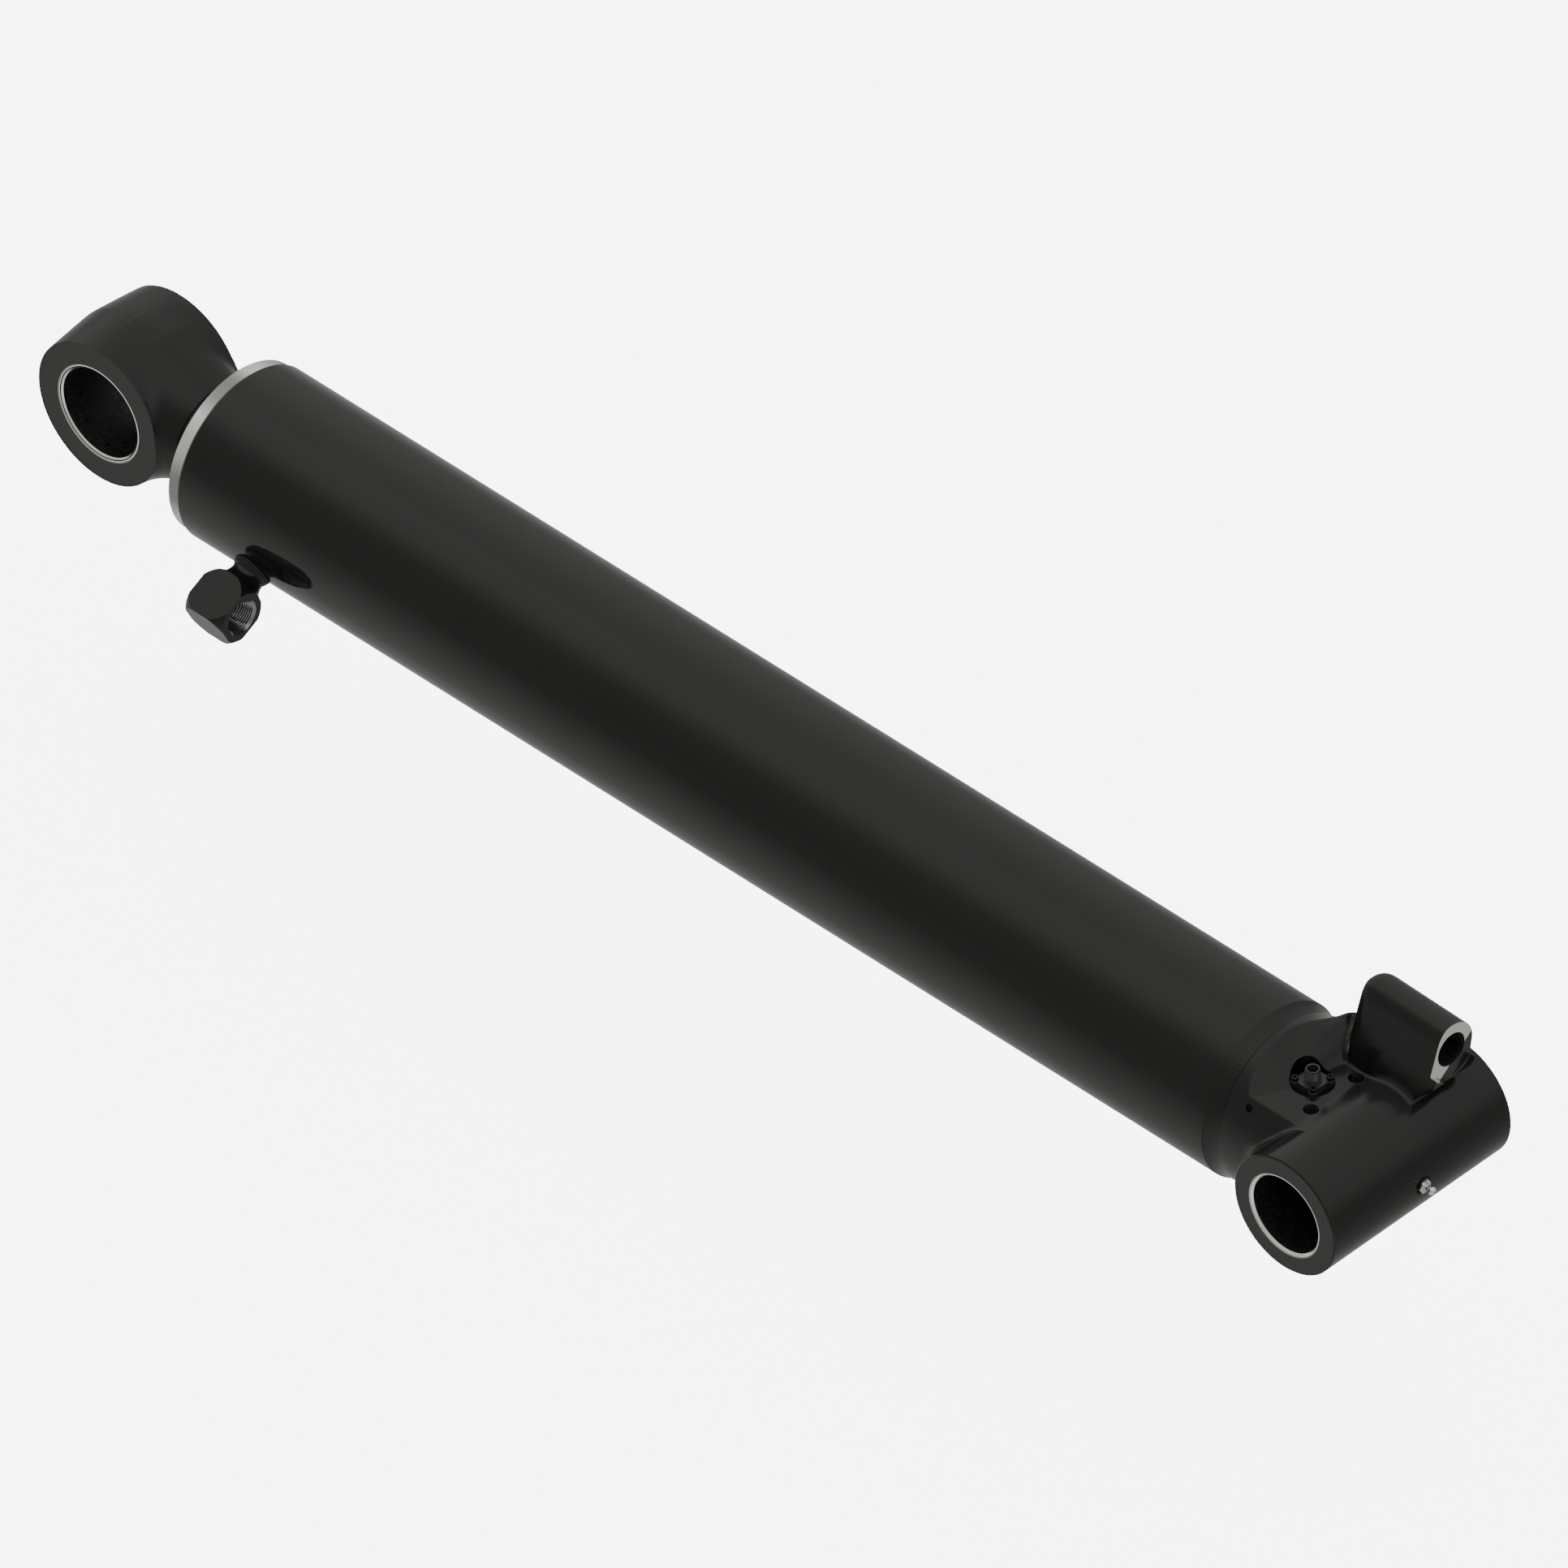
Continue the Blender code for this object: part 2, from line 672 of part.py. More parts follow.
def sensor_unit():
    body = SENSOR_CAVITY - 0.0004
    profile = [
        (0, SPIGOT_FACE + 0.001),
        (0.006, SPIGOT_FACE + 0.001),
        (0.006, SPIGOT_FACE - 0.002),
        (body, SPIGOT_FACE - 0.002),
        (body, CAVITY_END + 0.001),
        (0, CAVITY_END + 0.001),
    ]
    return turned("sensor_unit", profile, "machined_steel", BARREL_AXIS, 24)


def sensor_set_screw():
    centre = Vector((SET_SCREW_X, 0, 0))
    out = set_screw_direction()
    low = centre + out * (SENSOR_CAVITY + GAP)
    high = centre + out * (NECK_RADIUS - 0.001)
    screw = bar("sensor_set_screw", SET_SCREW_RADIUS, low, high, "black_oxide_steel", segments=12)
    return combine(screw, bar("set_screw_socket", 0.0013, high - out * 0.003, high + out * 0.005, segments=6))


# Head port


def elbow_direction():
    return Vector((0, -math.cos(ELBOW_DROP), -math.sin(ELBOW_DROP)))


def elbow_frame():
    """Its Z points away from the cylinder's axis, its X along the world's."""
    out = elbow_direction()
    side = out.cross(Vector((1, 0, 0)))
    place = Matrix((Vector((1, 0, 0)), side, out)).transposed().to_4x4()
    place.translation = Vector((-HEAD_PORT, 0, 0)) + out * ELBOW_REACH
    helper = empty("head_port_axis")
    helper.matrix_world = place
    return helper


def head_port_elbow(frame):
    """A turned body with a round head, cut to a square block, on a neck that meets the barrel."""
    lowest = -ELBOW_REACH + BARREL_RADIUS - 0.005
    first = math.degrees(math.asin(ELBOW_HALF / ELBOW_SPHERE))
    profile = [
        (0, ELBOW_HALF),
        *arc((0, 0), ELBOW_SPHERE, first, -44, 9),
        (0.0146, -0.0208),
        (0.0130, -0.0240),
        (ELBOW_NECK, -0.0275),
        (ELBOW_NECK, lowest),
        (0, lowest),
    ]
    elbow = turned("head_port_elbow", profile, "black_paint", frame, 28)
    low = (-ELBOW_HALF, -ELBOW_HALF, lowest - 0.010)
    high = (ELBOW_HALF, ELBOW_HALF, ELBOW_HALF + 0.010)
    combine(elbow, box("elbow_block", low, high, None, frame), "INTERSECT")
    combine(elbow, barrel_clearance("elbow_saddle", GAP))
    combine(elbow, bar("elbow_drill", HEAD_DRILL, (0, 0, lowest - 0.010), (0, 0, 0.006), None, frame))
    ends = ((-0.002, 0, 0), (0.030, 0, 0))
    return combine(elbow, bar("head_port_thread", HEAD_THREAD_RADIUS, *ends, None, frame, ROUND))


def barrel_clearance(name, gap):
    start = (-HEAD_PORT - 0.050, 0, 0)
    end = (-HEAD_PORT + 0.050, 0, 0)
    return bar(name, BARREL_RADIUS + gap, start, end, segments=ROUND_LARGE * 2)


def elbow_weld(frame):
    """The collar round the neck, where it is welded to the barrel."""
    seat = -ELBOW_REACH + BARREL_RADIUS
    inner = ELBOW_NECK + GAP
    profile = [
        (inner, seat + 0.0045),
        (inner + 0.0010, seat + 0.0045),
        (inner + 0.0022, seat + 0.0020),
        (inner + 0.0034, seat - 0.0040),
        (inner, seat - 0.0040),
    ]
    weld = turned("elbow_weld", profile, "black_paint", frame, 28)
    return combine(weld, barrel_clearance("weld_saddle", GAP))


# Glands, pistons and their rings


def grooved_bore(bore, low, high, grooves):
    """Inner side of a gland's profile, from low to high, with grooves cut outwards."""
    points = [(bore, low)]
    for start, end, depth in grooves:
        points += [(bore, start), (bore + depth, start), (bore + depth, end), (bore, end)]
    return [*points, (bore, high)]


def grooved_outside(radius, high, low, grooves):
    """Outer side of a piston's profile, from high to low, with grooves cut inwards."""
    points = [(radius, high)]
    for start, end, depth in reversed(grooves):
        points += [(radius, end), (radius - depth, end), (radius - depth, start), (radius, start)]
    return [*points, (radius, low)]


def bore_ring(name, groove, bore, shaft, finish, parent):
    """A ring in a bore's groove, which stands in to meet the shaft."""
    start, end, depth = groove
    return ring(name, shaft + RUNNING_GAP, bore + depth - METAL_GAP, start + GAP, end - GAP, finish, parent)


def shaft_ring(name, groove, shaft, bore, finish, parent):
    """A ring in a piston's groove, which stands out to meet the bore."""
    start, end, depth = groove
    inner = shaft - depth + RUNNING_GAP
    return ring(name, inner, bore - RUNNING_GAP, start + GAP, end - GAP, finish, parent)



def head_gland():
    bore = STAGE_RADIUS + METAL_GAP
    body = BARREL_BORE - RUNNING_GAP
    rim = BARREL_HEAD + GAP
    chamfer = 0.0008
    profile = [
        (GLAND_RADIUS - chamfer, GLAND_FRONT),
        (GLAND_RADIUS, GLAND_FRONT - chamfer),
        (GLAND_RADIUS, rim),
        *grooved_outside(body, rim, GLAND_INNER, [GLAND_O_RING]),
        *grooved_bore(bore, GLAND_INNER, GLAND_FRONT, GLAND_GROOVES),
    ]
    turned("head_gland", profile, "bright_steel", BARREL_AXIS)
    for (name, finish), groove in zip(GLAND_RINGS, GLAND_GROOVES):
        bore_ring(name, groove, bore, STAGE_RADIUS, finish, BARREL_AXIS)
    shaft_ring("gland_o_ring", GLAND_O_RING, body, BARREL_BORE, "seal_rubber", BARREL_AXIS)


# First stage


def radial_holes(target, name, radius, station, inner, outer, count=4):
    """Equal holes round the axis, through the wall between two radii."""
    for number in range(1, count + 1):
        angle = math.tau * (number - 0.5) / count
        out = Vector((0, math.cos(angle), math.sin(angle)))
        centre = Vector((-station, 0, 0))
        hole = bar(f"{name}_{number}", radius, centre + out * inner, centre + out * outer, segments=8)
        combine(target, hole)


def stage_tubes():
    front = STAGE_GLAND_RIM - GAP
    profile = [
        (STAGE_BORE, front),
        (STAGE_RADIUS, front),
        (STAGE_RADIUS, STAGE_PISTON_FRONT + GAP),
        (STAGE_TUBE_SPIGOT, STAGE_PISTON_FRONT + GAP),
        (STAGE_TUBE_SPIGOT, STAGE_TUBE_END),
        (STAGE_BORE, STAGE_TUBE_END),
    ]
    outer = turned("stage_outer_tube", profile, "hard_chrome", STAGE_AXIS)
    radial_holes(outer, "stage_cross_hole", 0.004, 0.200, STAGE_BORE - 0.001, STAGE_RADIUS + 0.005)
    size = (LINER_BORE, LINER_RADIUS, LINER_END, LINER_HEAD)
    liner = ring("stage_inner_tube", *size, "honed_steel", STAGE_AXIS)
    radial_holes(liner, "liner_cross_hole", 0.003, 0.985, LINER_BORE - 0.001, LINER_RADIUS + 0.001)


def stage_piston():
    body = BARREL_BORE - METAL_GAP
    nose = 0.053
    through = 0.030
    profile = [
        (STAGE_TUBE_SPIGOT + GAP, STAGE_PISTON_FRONT),
        (nose, STAGE_PISTON_FRONT),
        (nose, STAGE_NOSE),
        *grooved_outside(body, STAGE_NOSE, STAGE_PISTON_REAR, STAGE_PISTON_GROOVES),
        (through, STAGE_PISTON_REAR),
        (through, LINER_END - GAP),
        (LINER_RADIUS + GAP, LINER_END - GAP),
        (LINER_RADIUS + GAP, STAGE_TUBE_END - GAP),
        (STAGE_TUBE_SPIGOT + GAP, STAGE_TUBE_END - GAP),
    ]
    turned("stage_piston", profile, "cast_iron", STAGE_AXIS)
    for (name, finish), groove in zip(STAGE_PISTON_RINGS, STAGE_PISTON_GROOVES):
        shaft_ring(name, groove, body, BARREL_BORE, finish, BARREL_AXIS)


def stage_gland():
    bore = ROD_RADIUS + METAL_GAP
    body = STAGE_BORE - GAP
    shoulder = STAGE_GLAND_RIM
    spigot = LINER_BORE - GAP
    chamfer = 0.0008
    profile = [
        (STAGE_RADIUS - chamfer, STAGE_FRONT),
        (STAGE_RADIUS, STAGE_FRONT - chamfer),
        (STAGE_RADIUS, shoulder),
        *grooved_outside(body, shoulder, LINER_HEAD + GAP, [STAGE_GLAND_O_RING]),
        (spigot, LINER_HEAD + GAP),
        (spigot, STAGE_GLAND_INNER),
        *grooved_bore(bore, STAGE_GLAND_INNER, STAGE_FRONT, STAGE_GLAND_GROOVES),
    ]
    turned("stage_gland", profile, "bright_steel", STAGE_AXIS)
    for (name, finish), groove in zip(STAGE_GLAND_RINGS, STAGE_GLAND_GROOVES):
        bore_ring(name, groove, bore, ROD_RADIUS, finish, STAGE_AXIS)
    shaft_ring("stage_gland_o_ring", STAGE_GLAND_O_RING, body, STAGE_BORE, "seal_rubber", STAGE_AXIS)


# Rod


def piston_rod():
    profile = [
        (0, PIN_TO_PIN - ROD_CONE_END - GAP),
        (ROD_RADIUS, PIN_TO_PIN - ROD_CONE_END - GAP),
        (ROD_RADIUS, ROD_PISTON_FRONT + GAP),
        (ROD_SPIGOT, ROD_PISTON_FRONT + GAP),
        (ROD_SPIGOT, ROD_TAIL + 0.0015),
        (ROD_SPIGOT - 0.0015, ROD_TAIL),
        (0, ROD_TAIL),
    ]
    return turned("piston_rod", profile, "hard_chrome", ROD_AXIS)


def rod_piston():
    body = LINER_BORE - METAL_GAP
    nose = 0.0335
    bore = ROD_SPIGOT + GAP
    profile = [
        (bore, ROD_PISTON_FRONT),
        (nose, ROD_PISTON_FRONT),
        (nose, ROD_PISTON_NOSE),
        *grooved_outside(body, ROD_PISTON_NOSE, ROD_PISTON_REAR, ROD_PISTON_GROOVES),
        *grooved_bore(bore, ROD_PISTON_REAR, ROD_PISTON_FRONT, [ROD_O_RING])[:-1],
    ]
    turned("rod_piston", profile, "cast_iron", ROD_AXIS)
    for (name, finish), groove in zip(ROD_PISTON_RINGS, ROD_PISTON_GROOVES):
        shaft_ring(name, groove, body, LINER_BORE, finish, STAGE_AXIS)
    bore_ring("rod_o_ring", ROD_O_RING, bore, ROD_SPIGOT, "seal_rubber", ROD_AXIS)


def piston_nut():
    low = ROD_TAIL - 0.001
    high = ROD_PISTON_REAR - GAP
    nut = bar("piston_nut", NUT_RADIUS, (-low, 0, 0), (-high, 0, 0), "zinc_steel", segments=6)
    past = 0.005
    ends = ((past - low, 0, 0), (-past - high, 0, 0))
    return combine(nut, bar("piston_nut_thread", ROD_SPIGOT + GAP, *ends, segments=ROUND))


def rod_eye_radius(step):
    """Radius at a share of the half width: fullest at the middle, which is 0."""
    return ROD_EYE_SIDE + (ROD_EYE_CREST - ROD_EYE_SIDE) * (1 - abs(step) ** ROD_EYE_FULLNESS)


def rod_eye():
    """A forged eye, fullest at its middle, with a cone down to the rod. Its two sides are faced flat."""
    half = ROD_EYE_HALF_WIDTH
    steps = [1 - number / 3 for number in range(7)]
    side = [(rod_eye_radius(step), half * step) for step in steps]
    eye = turned("rod_eye", [(0, half), *side, (0, -half)], "black_paint", ROD_PIN_AXIS, ROUND_LARGE)
    cone_profile = [
        (0, PIN_TO_PIN - ROD_CONE_START),
        (ROD_CONE_RADIUS, PIN_TO_PIN - ROD_CONE_START),
        (rod_cone_tip(), PIN_TO_PIN - ROD_CONE_END),
        (0, PIN_TO_PIN - ROD_CONE_END),
    ]
    combine(eye, turned("rod_eye_cone", cone_profile, None, ROD_AXIS, ROUND_LARGE), "UNION")
    for side_name, sign in (("front", -1), ("rear", 1)):
        start = (-PIN_TO_PIN, sign * half, 0)
        end = (-PIN_TO_PIN, sign * (half + 0.030), 0)
        combine(eye, bar(f"rod_eye_facing_{side_name}", ROD_EYE_SIDE, start, end, segments=ROUND_LARGE))
    start = (-PIN_TO_PIN, -half - 0.010, 0)
    end = (-PIN_TO_PIN, half + 0.010, 0)
    return combine(eye, bar("rod_eye_bore", ROD_EYE_BORE, start, end, segments=ROUND_LARGE))


def rod_cone_tip():
    return ROD_CONE_RADIUS - ROD_CONE_SLOPE * (ROD_CONE_END - ROD_CONE_START)


def rod_eye_fittings():
    outer = ROD_EYE_BORE - GAP
    end = ROD_EYE_HALF_WIDTH - GAP
    bushing("rod_eye_bushing", ROD_PIN_RADIUS, outer, -end, end, ROD_PIN_AXIS, 1, 1)
    high = PIN_TO_PIN - ROD_CONE_END - GAP
    inner = ROD_RADIUS + RUNNING_GAP
    weld = [(inner, high), (inner + 0.0060, high), (inner + 0.0035, high - 0.0040), (inner, high - 0.0060)]
    turned("rod_eye_weld", weld, "black_paint", ROD_AXIS)


def finish_parts():
    """Applies each part's modifiers and shades it smooth, apart from its sharp edges."""
    bpy.context.view_layer.update()
    graph = bpy.context.evaluated_depsgraph_get()
    parts = [obj for obj in PARTS.objects if obj.type == "MESH"]
    meshes = {obj.name: bpy.data.meshes.new_from_object(obj.evaluated_get(graph)) for obj in parts}
    for obj in parts:
        obj.modifiers.clear()
        obj.data = meshes[obj.name]
        obj.data.name = obj.name
        obj.data.shade_smooth()
        obj.data.set_sharp_from_angle(angle=SHARP_ANGLE)


def main():
    barrel_tube()
    base_weld_bead()
    base_casting()
    base_bushings()
    grease_nipple()
    sensor_flange()
    contact_insert()
    connector_screws()
    sensor_lead()
    sensor_unit()
    sensor_set_screw()
    port_frame = elbow_frame()
    head_port_elbow(port_frame)
    elbow_weld(port_frame)
    head_gland()
    stage_tubes()
    stage_piston()
    stage_gland()
    piston_rod()
    rod_piston()
    piston_nut()
    rod_eye()
    rod_eye_fittings()
    finish_parts()


main()
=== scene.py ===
"""The looks of the telescopic hydraulic cylinder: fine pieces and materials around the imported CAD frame."""

import json
import math

import bmesh
import bpy
import numpy as np
import openvdb
from mathutils import Matrix, Vector


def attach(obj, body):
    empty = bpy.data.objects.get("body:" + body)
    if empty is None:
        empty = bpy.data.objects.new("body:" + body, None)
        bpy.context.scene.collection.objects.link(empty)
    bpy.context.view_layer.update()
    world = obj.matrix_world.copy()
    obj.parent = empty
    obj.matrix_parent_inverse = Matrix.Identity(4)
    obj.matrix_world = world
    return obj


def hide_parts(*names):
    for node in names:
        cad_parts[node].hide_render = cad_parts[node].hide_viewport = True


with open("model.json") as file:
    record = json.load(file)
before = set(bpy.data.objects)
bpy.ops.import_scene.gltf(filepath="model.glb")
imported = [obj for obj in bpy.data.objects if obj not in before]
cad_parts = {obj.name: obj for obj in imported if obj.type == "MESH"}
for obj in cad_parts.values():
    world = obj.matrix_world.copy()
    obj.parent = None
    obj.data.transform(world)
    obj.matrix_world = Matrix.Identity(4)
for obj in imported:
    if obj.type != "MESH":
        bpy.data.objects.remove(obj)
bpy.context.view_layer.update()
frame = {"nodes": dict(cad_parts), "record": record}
BODY_OF = {node: body for body, nodes in frame["record"]["behaviour"]["bodies"].items() for node in nodes}
SLOT_OF = {row["node"]: row["material_slot"] for row in frame["record"]["subparts"]}

# Everything is in metres, but for the castings' distance fields. The cylinder's axis is X, the rod leaves
# towards -X, and the base pin is at the origin.
X_AXIS = Vector((1, 0, 0))
Y_AXIS = Vector((0, 1, 0))
Z_AXIS = Vector((0, 0, 1))
FINE = 192
SMALL = 64
SHARP = math.radians(32)
EDGE = 0.0004
TINY = 1e-7
THREAD_STEPS = 8
G_THREE_QUARTER_PITCH = 0.001814
PORT = Vector((0.026, 0.049, 0.0784))
PAINT_SPECULAR = 0.30
# The slanting line on the port face below which shade is painted.
PAINTED_SHADE_LINE = (-0.0094, -0.0086)
# Painted highlight and shade bands on bright steel: how many to a turn, and where they start.
PAINTED_BANDS_PER_TURN = 5
PAINTED_BAND_PHASE = math.radians(700)

# ---------------------------------------------------------------- materials


class Graph:
    """The nodes of a material or a world, with short ways to add and join them."""

    def __init__(self, name, world=False):
        self.owner = (bpy.data.worlds if world else bpy.data.materials).new(name)
        self.owner.use_nodes = True
        self.tree = self.owner.node_tree
        self.shader = self.tree.nodes["Background" if world else "Principled BSDF"]
        self.places = self.add("ShaderNodeTexCoord").outputs
        self.point = self.places["Object"]

    def add(self, kind, inputs=None, **settings):
        node = self.tree.nodes.new(kind)
        for key, value in settings.items():
            setattr(node, key, value)
        for key, value in (inputs or {}).items():
            self.set(node.inputs[key], value)
        return node

    def set(self, socket, value):
        if isinstance(value, bpy.types.NodeSocket):
            self.tree.links.new(value, socket)
        else:
            socket.default_value = value

    def math(self, operation, first, second=0.0):
        return self.add("ShaderNodeMath", {0: first, 1: second}, operation=operation).outputs[0]

    def split(self, vector):
        return self.add("ShaderNodeSeparateXYZ", {0: vector}).outputs

    def noise(self, scale, detail=2.0, vector=None, roughness=0.5):
        inputs = {"Vector": vector or self.point, "Scale": scale, "Detail": detail, "Roughness": roughness}
        return self.add("ShaderNodeTexNoise", inputs).outputs["Fac"]

    def spots(self, scale, low, high):
        """0 almost everywhere, rising to 1 inside small round spots."""
        cells = self.add("ShaderNodeTexVoronoi", {"Vector": self.point, "Scale": scale}).outputs["Distance"]
        return self.between(cells, high, low)

    def between(self, value, low, high, to_low=0.0, to_high=1.0):
        inputs = {"Value": value, "From Min": low, "From Max": high, "To Min": to_low, "To Max": to_high}
        return self.add("ShaderNodeMapRange", inputs, interpolation_type="SMOOTHSTEP").outputs[0]

    def mix(self, factor, first, second):
        node = self.add("ShaderNodeMix", data_type="RGBA")
        for key, value in (("Factor", factor), ("A", first), ("B", second)):
            socket = [s for s in node.inputs if s.name == key and s.enabled][0]
            self.set(socket, (*value, 1.0) if isinstance(value, tuple) and len(value) == 3 else value)
        return [s for s in node.outputs if s.enabled][0]

    def bump(self, height, strength, distance, before=None):
        inputs = {"Height": height, "Strength": strength, "Distance": distance}
        if before:
            inputs["Normal"] = before
        return self.add("ShaderNodeBump", inputs).outputs["Normal"]

    def round_point(self, axis, along, across, around):
        """The point as (length along an axis, distance from it, angle about it), each at its own scale."""
        parts = self.split(self.point)
        order = {"X": (0, 1, 2), "Y": (1, 2, 0), "Z": (2, 0, 1)}[axis]
        length, first, second = (parts[i] for i in order)
        squares = self.math("ADD", self.math("MULTIPLY", first, first), self.math("MULTIPLY", second, second))
        radius = self.math("SQRT", squares)
        angle = self.math("ARCTAN2", second, first)
        values = (self.math("MULTIPLY", length, along), self.math("MULTIPLY", radius, across),
                  self.math("MULTIPLY", angle, around))
        return self.add("ShaderNodeCombineXYZ", {0: values[0], 1: values[1], 2: values[2]}).outputs[0]

    def finish(self, metallic=0.0, **sockets):
        for name, value in {"Metallic": metallic, **sockets}.items():
            self.set(self.shader.inputs[name.replace("_", " ")], value)
        return self.owner


def paint(name, cast):
    """Gloss black enamel with orange peel, a little dust and, on the castings, the skin under it."""
    g = Graph(name)
    cloud = g.noise(14, 3)
    dust = g.spots(620, 0.02, 0.09)
    base = g.mix(cloud, (0.0088, 0.0088, 0.0084), (0.0118, 0.0118, 0.0112))
    colour = g.mix(g.math("MULTIPLY", dust, 0.10), base, (0.11, 0.105, 0.095))
    smear = g.noise(46, 5, roughness=0.6)
    low = 0.15 if cast else 0.055
    rough = g.math("ADD", g.between(smear, 0.35, 0.75, low, low + 0.06), g.math("MULTIPLY", dust, 0.18))
    peel = g.bump(g.noise(260, 2), 0.022, 0.0005)
    normal = g.bump(g.noise(95, 3), 0.035, 0.0010, peel) if cast else peel
    g.shader.inputs["Specular IOR Level"].default_value = PAINT_SPECULAR
    return g.finish(0.0, Base_Color=colour, Roughness=rough, Normal=normal)


def turned_steel(name, tone, axis, rough=0.24, lines=5200, tint=0.08, painted_bands=0.0):
    """Turned or ground metal: fine rings about its axis, faint stains, and, if asked, painted highlight and
    shade in bands by the angle about the axis.
    """
    g = Graph(name)
    rings = g.noise(1.0, 2, g.round_point(axis, lines, lines, 0.6))
    coarse = g.noise(1.0, 2, g.round_point(axis, lines / 9, lines / 9, 1.2))
    stain = g.noise(60, 4, roughness=0.6)
    dark = tuple(channel * (1 - tint) for channel in tone)
    colour = g.mix(g.between(stain, 0.4, 0.7), tone, dark)
    # Painted highlight and shade: the colour is made lighter and darker in bands by the angle about the axis,
    # standing in for reflections.
    if painted_bands:
        turn = g.split(g.round_point(axis, 1, 1, PAINTED_BANDS_PER_TURN))[2]
        wave = g.math("COSINE", g.math("SUBTRACT", turn, PAINTED_BAND_PHASE))
        low = tuple(channel * (1 - painted_bands) for channel in tone)
        colour = g.mix(g.between(wave, -1.0, 1.0), low, colour)
    marks = g.math("ADD", g.math("MULTIPLY", rings, 0.10), g.math("MULTIPLY", coarse, 0.08))
    roughness = g.math("ADD", marks, g.between(stain, 0.35, 0.8, rough - 0.09, rough + 0.03))
    normal = g.bump(rings, 0.12, 0.00012, g.bump(coarse, 0.10, 0.00030))
    g.shader.inputs["Anisotropic"].default_value = 0.35
    return g.finish(1.0, Base_Color=colour, Roughness=roughness, Normal=normal)


def chrome(name):
    """Ground and polished hard chrome with an uneven film of oil."""
    g = Graph(name)
    polish = g.noise(1.0, 3, g.round_point("X", 9000, 900, 3.0))
    film = g.noise(1.0, 4, g.round_point("X", 18, 18, 2.2))
    colour = g.mix(film, (0.66, 0.67, 0.68), (0.57, 0.57, 0.56))
    rough = g.math("ADD", g.between(film, 0.35, 0.7, 0.045, 0.115), g.math("MULTIPLY", polish, 0.05))
    return g.finish(1.0, Base_Color=colour, Roughness=rough, Normal=g.bump(polish, 0.03, 0.00005))


def honed(name):
    """Steel with the crossing scratches of a hone."""
    g = Graph(name)
    scratch = []
    for lean in (0.6, -0.6):
        turned = {"Vector": g.round_point("X", 260, 0, 14), "Rotation": (0, lean, 0)}
        mapped = g.add("ShaderNodeMapping", turned)
        stretched = g.add("ShaderNodeMapping", {"Vector": mapped.outputs[0], "Scale": (1, 1, 14)})
        scratch.append(g.noise(3.0, 3, stretched.outputs[0]))
    cross = g.math("MAXIMUM", scratch[0], scratch[1])
    colour = g.mix(cross, (0.30, 0.30, 0.31), (0.42, 0.42, 0.42))
    return g.finish(1.0, Base_Color=colour, Roughness=g.between(cross, 0.4, 0.8, 0.22, 0.40),
                    Normal=g.bump(cross, 0.15, 0.00008))


def iron(name):
    """Turned cast iron: dark flecks of graphite in a grey ground, oiled."""
    g = Graph(name)
    flecks = g.spots(900, 0.08, 0.28)
    rings = g.noise(1.0, 2, g.round_point("X", 2600, 2600, 0.8))
    colour = g.mix(flecks, (0.21, 0.205, 0.20), (0.07, 0.07, 0.07))
    rough = g.math("ADD", g.math("MULTIPLY", rings, 0.14), g.math("MULTIPLY", flecks, 0.22))
    return g.finish(0.85, Base_Color=colour, Roughness=g.math("ADD", rough, 0.26),
                    Normal=g.bump(rings, 0.15, 0.0002))


def zinc(name):
    """Bright zinc plating with faint spangle and a thin blue to yellow tint."""
    g = Graph(name)
    spangle = g.add("ShaderNodeTexVoronoi", {"Vector": g.point, "Scale": 520.0}).outputs["Color"]
    tint = g.noise(120, 3)
    base = g.mix(tint, (0.68, 0.70, 0.73), (0.72, 0.70, 0.64))
    grain = g.add("ShaderNodeSeparateColor", {0: spangle}).outputs[0]
    rough = g.math("ADD", g.math("MULTIPLY", grain, 0.07), g.between(tint, 0.3, 0.7, 0.15, 0.24))
    return g.finish(1.0, Base_Color=base, Roughness=rough, Normal=g.bump(grain, 0.04, 0.0001))


def moulded(name, low, high, rough, grain_scale, depth, specks=0.0):
    """Moulded rubber or plastic: a fine sparked grain and soft changes of tone."""
    g = Graph(name)
    cloud = g.noise(70, 3)
    colour = g.mix(cloud, low, high)
    if specks:
        colour = g.mix(g.math("MULTIPLY", g.spots(2400, 0.02, 0.12), specks), colour, (0.16, 0.16, 0.16))
    grain = g.noise(grain_scale, 3)
    roughness = g.math("ADD", g.math("MULTIPLY", cloud, 0.10), rough)
    return g.finish(0.0, Base_Color=colour, Roughness=roughness, Normal=g.bump(grain, 0.25, depth))


def woven_resin(name):
    """Brown resin with the weave of the cloth inside it."""
    g = Graph(name)
    threads = 5200.0
    parts = g.split(g.round_point("X", 1, 1, 0.05))
    warp, weft = (g.math("SINE", g.math("MULTIPLY", parts[i], threads)) for i in (0, 2))
    weave = g.between(g.math("MULTIPLY", warp, weft), -1.0, 1.0)
    colour = g.mix(weave, (0.19, 0.085, 0.035), (0.31, 0.15, 0.07))
    return g.finish(0.0, Base_Color=colour, Roughness=g.between(weave, 0, 1, 0.62, 0.45),
                    Normal=g.bump(weave, 0.4, 0.0001))


def bore_painted_shade(name):
    """Painted shade for a bushing's bore: near-black, speckled with bright specks."""
    g = Graph(name)
    specks = g.spots(520, 0.02, 0.15)
    sheen = g.noise(240, 4, roughness=0.65)
    base = g.mix(sheen, (0.004, 0.004, 0.004), (0.012, 0.011, 0.010))
    colour = g.mix(specks, base, (0.40, 0.38, 0.34))
    return g.finish(0.2, Base_Color=colour, Roughness=g.between(sheen, 0.3, 0.7, 0.38, 0.62),
                    Normal=g.bump(specks, 0.2, 0.0001))


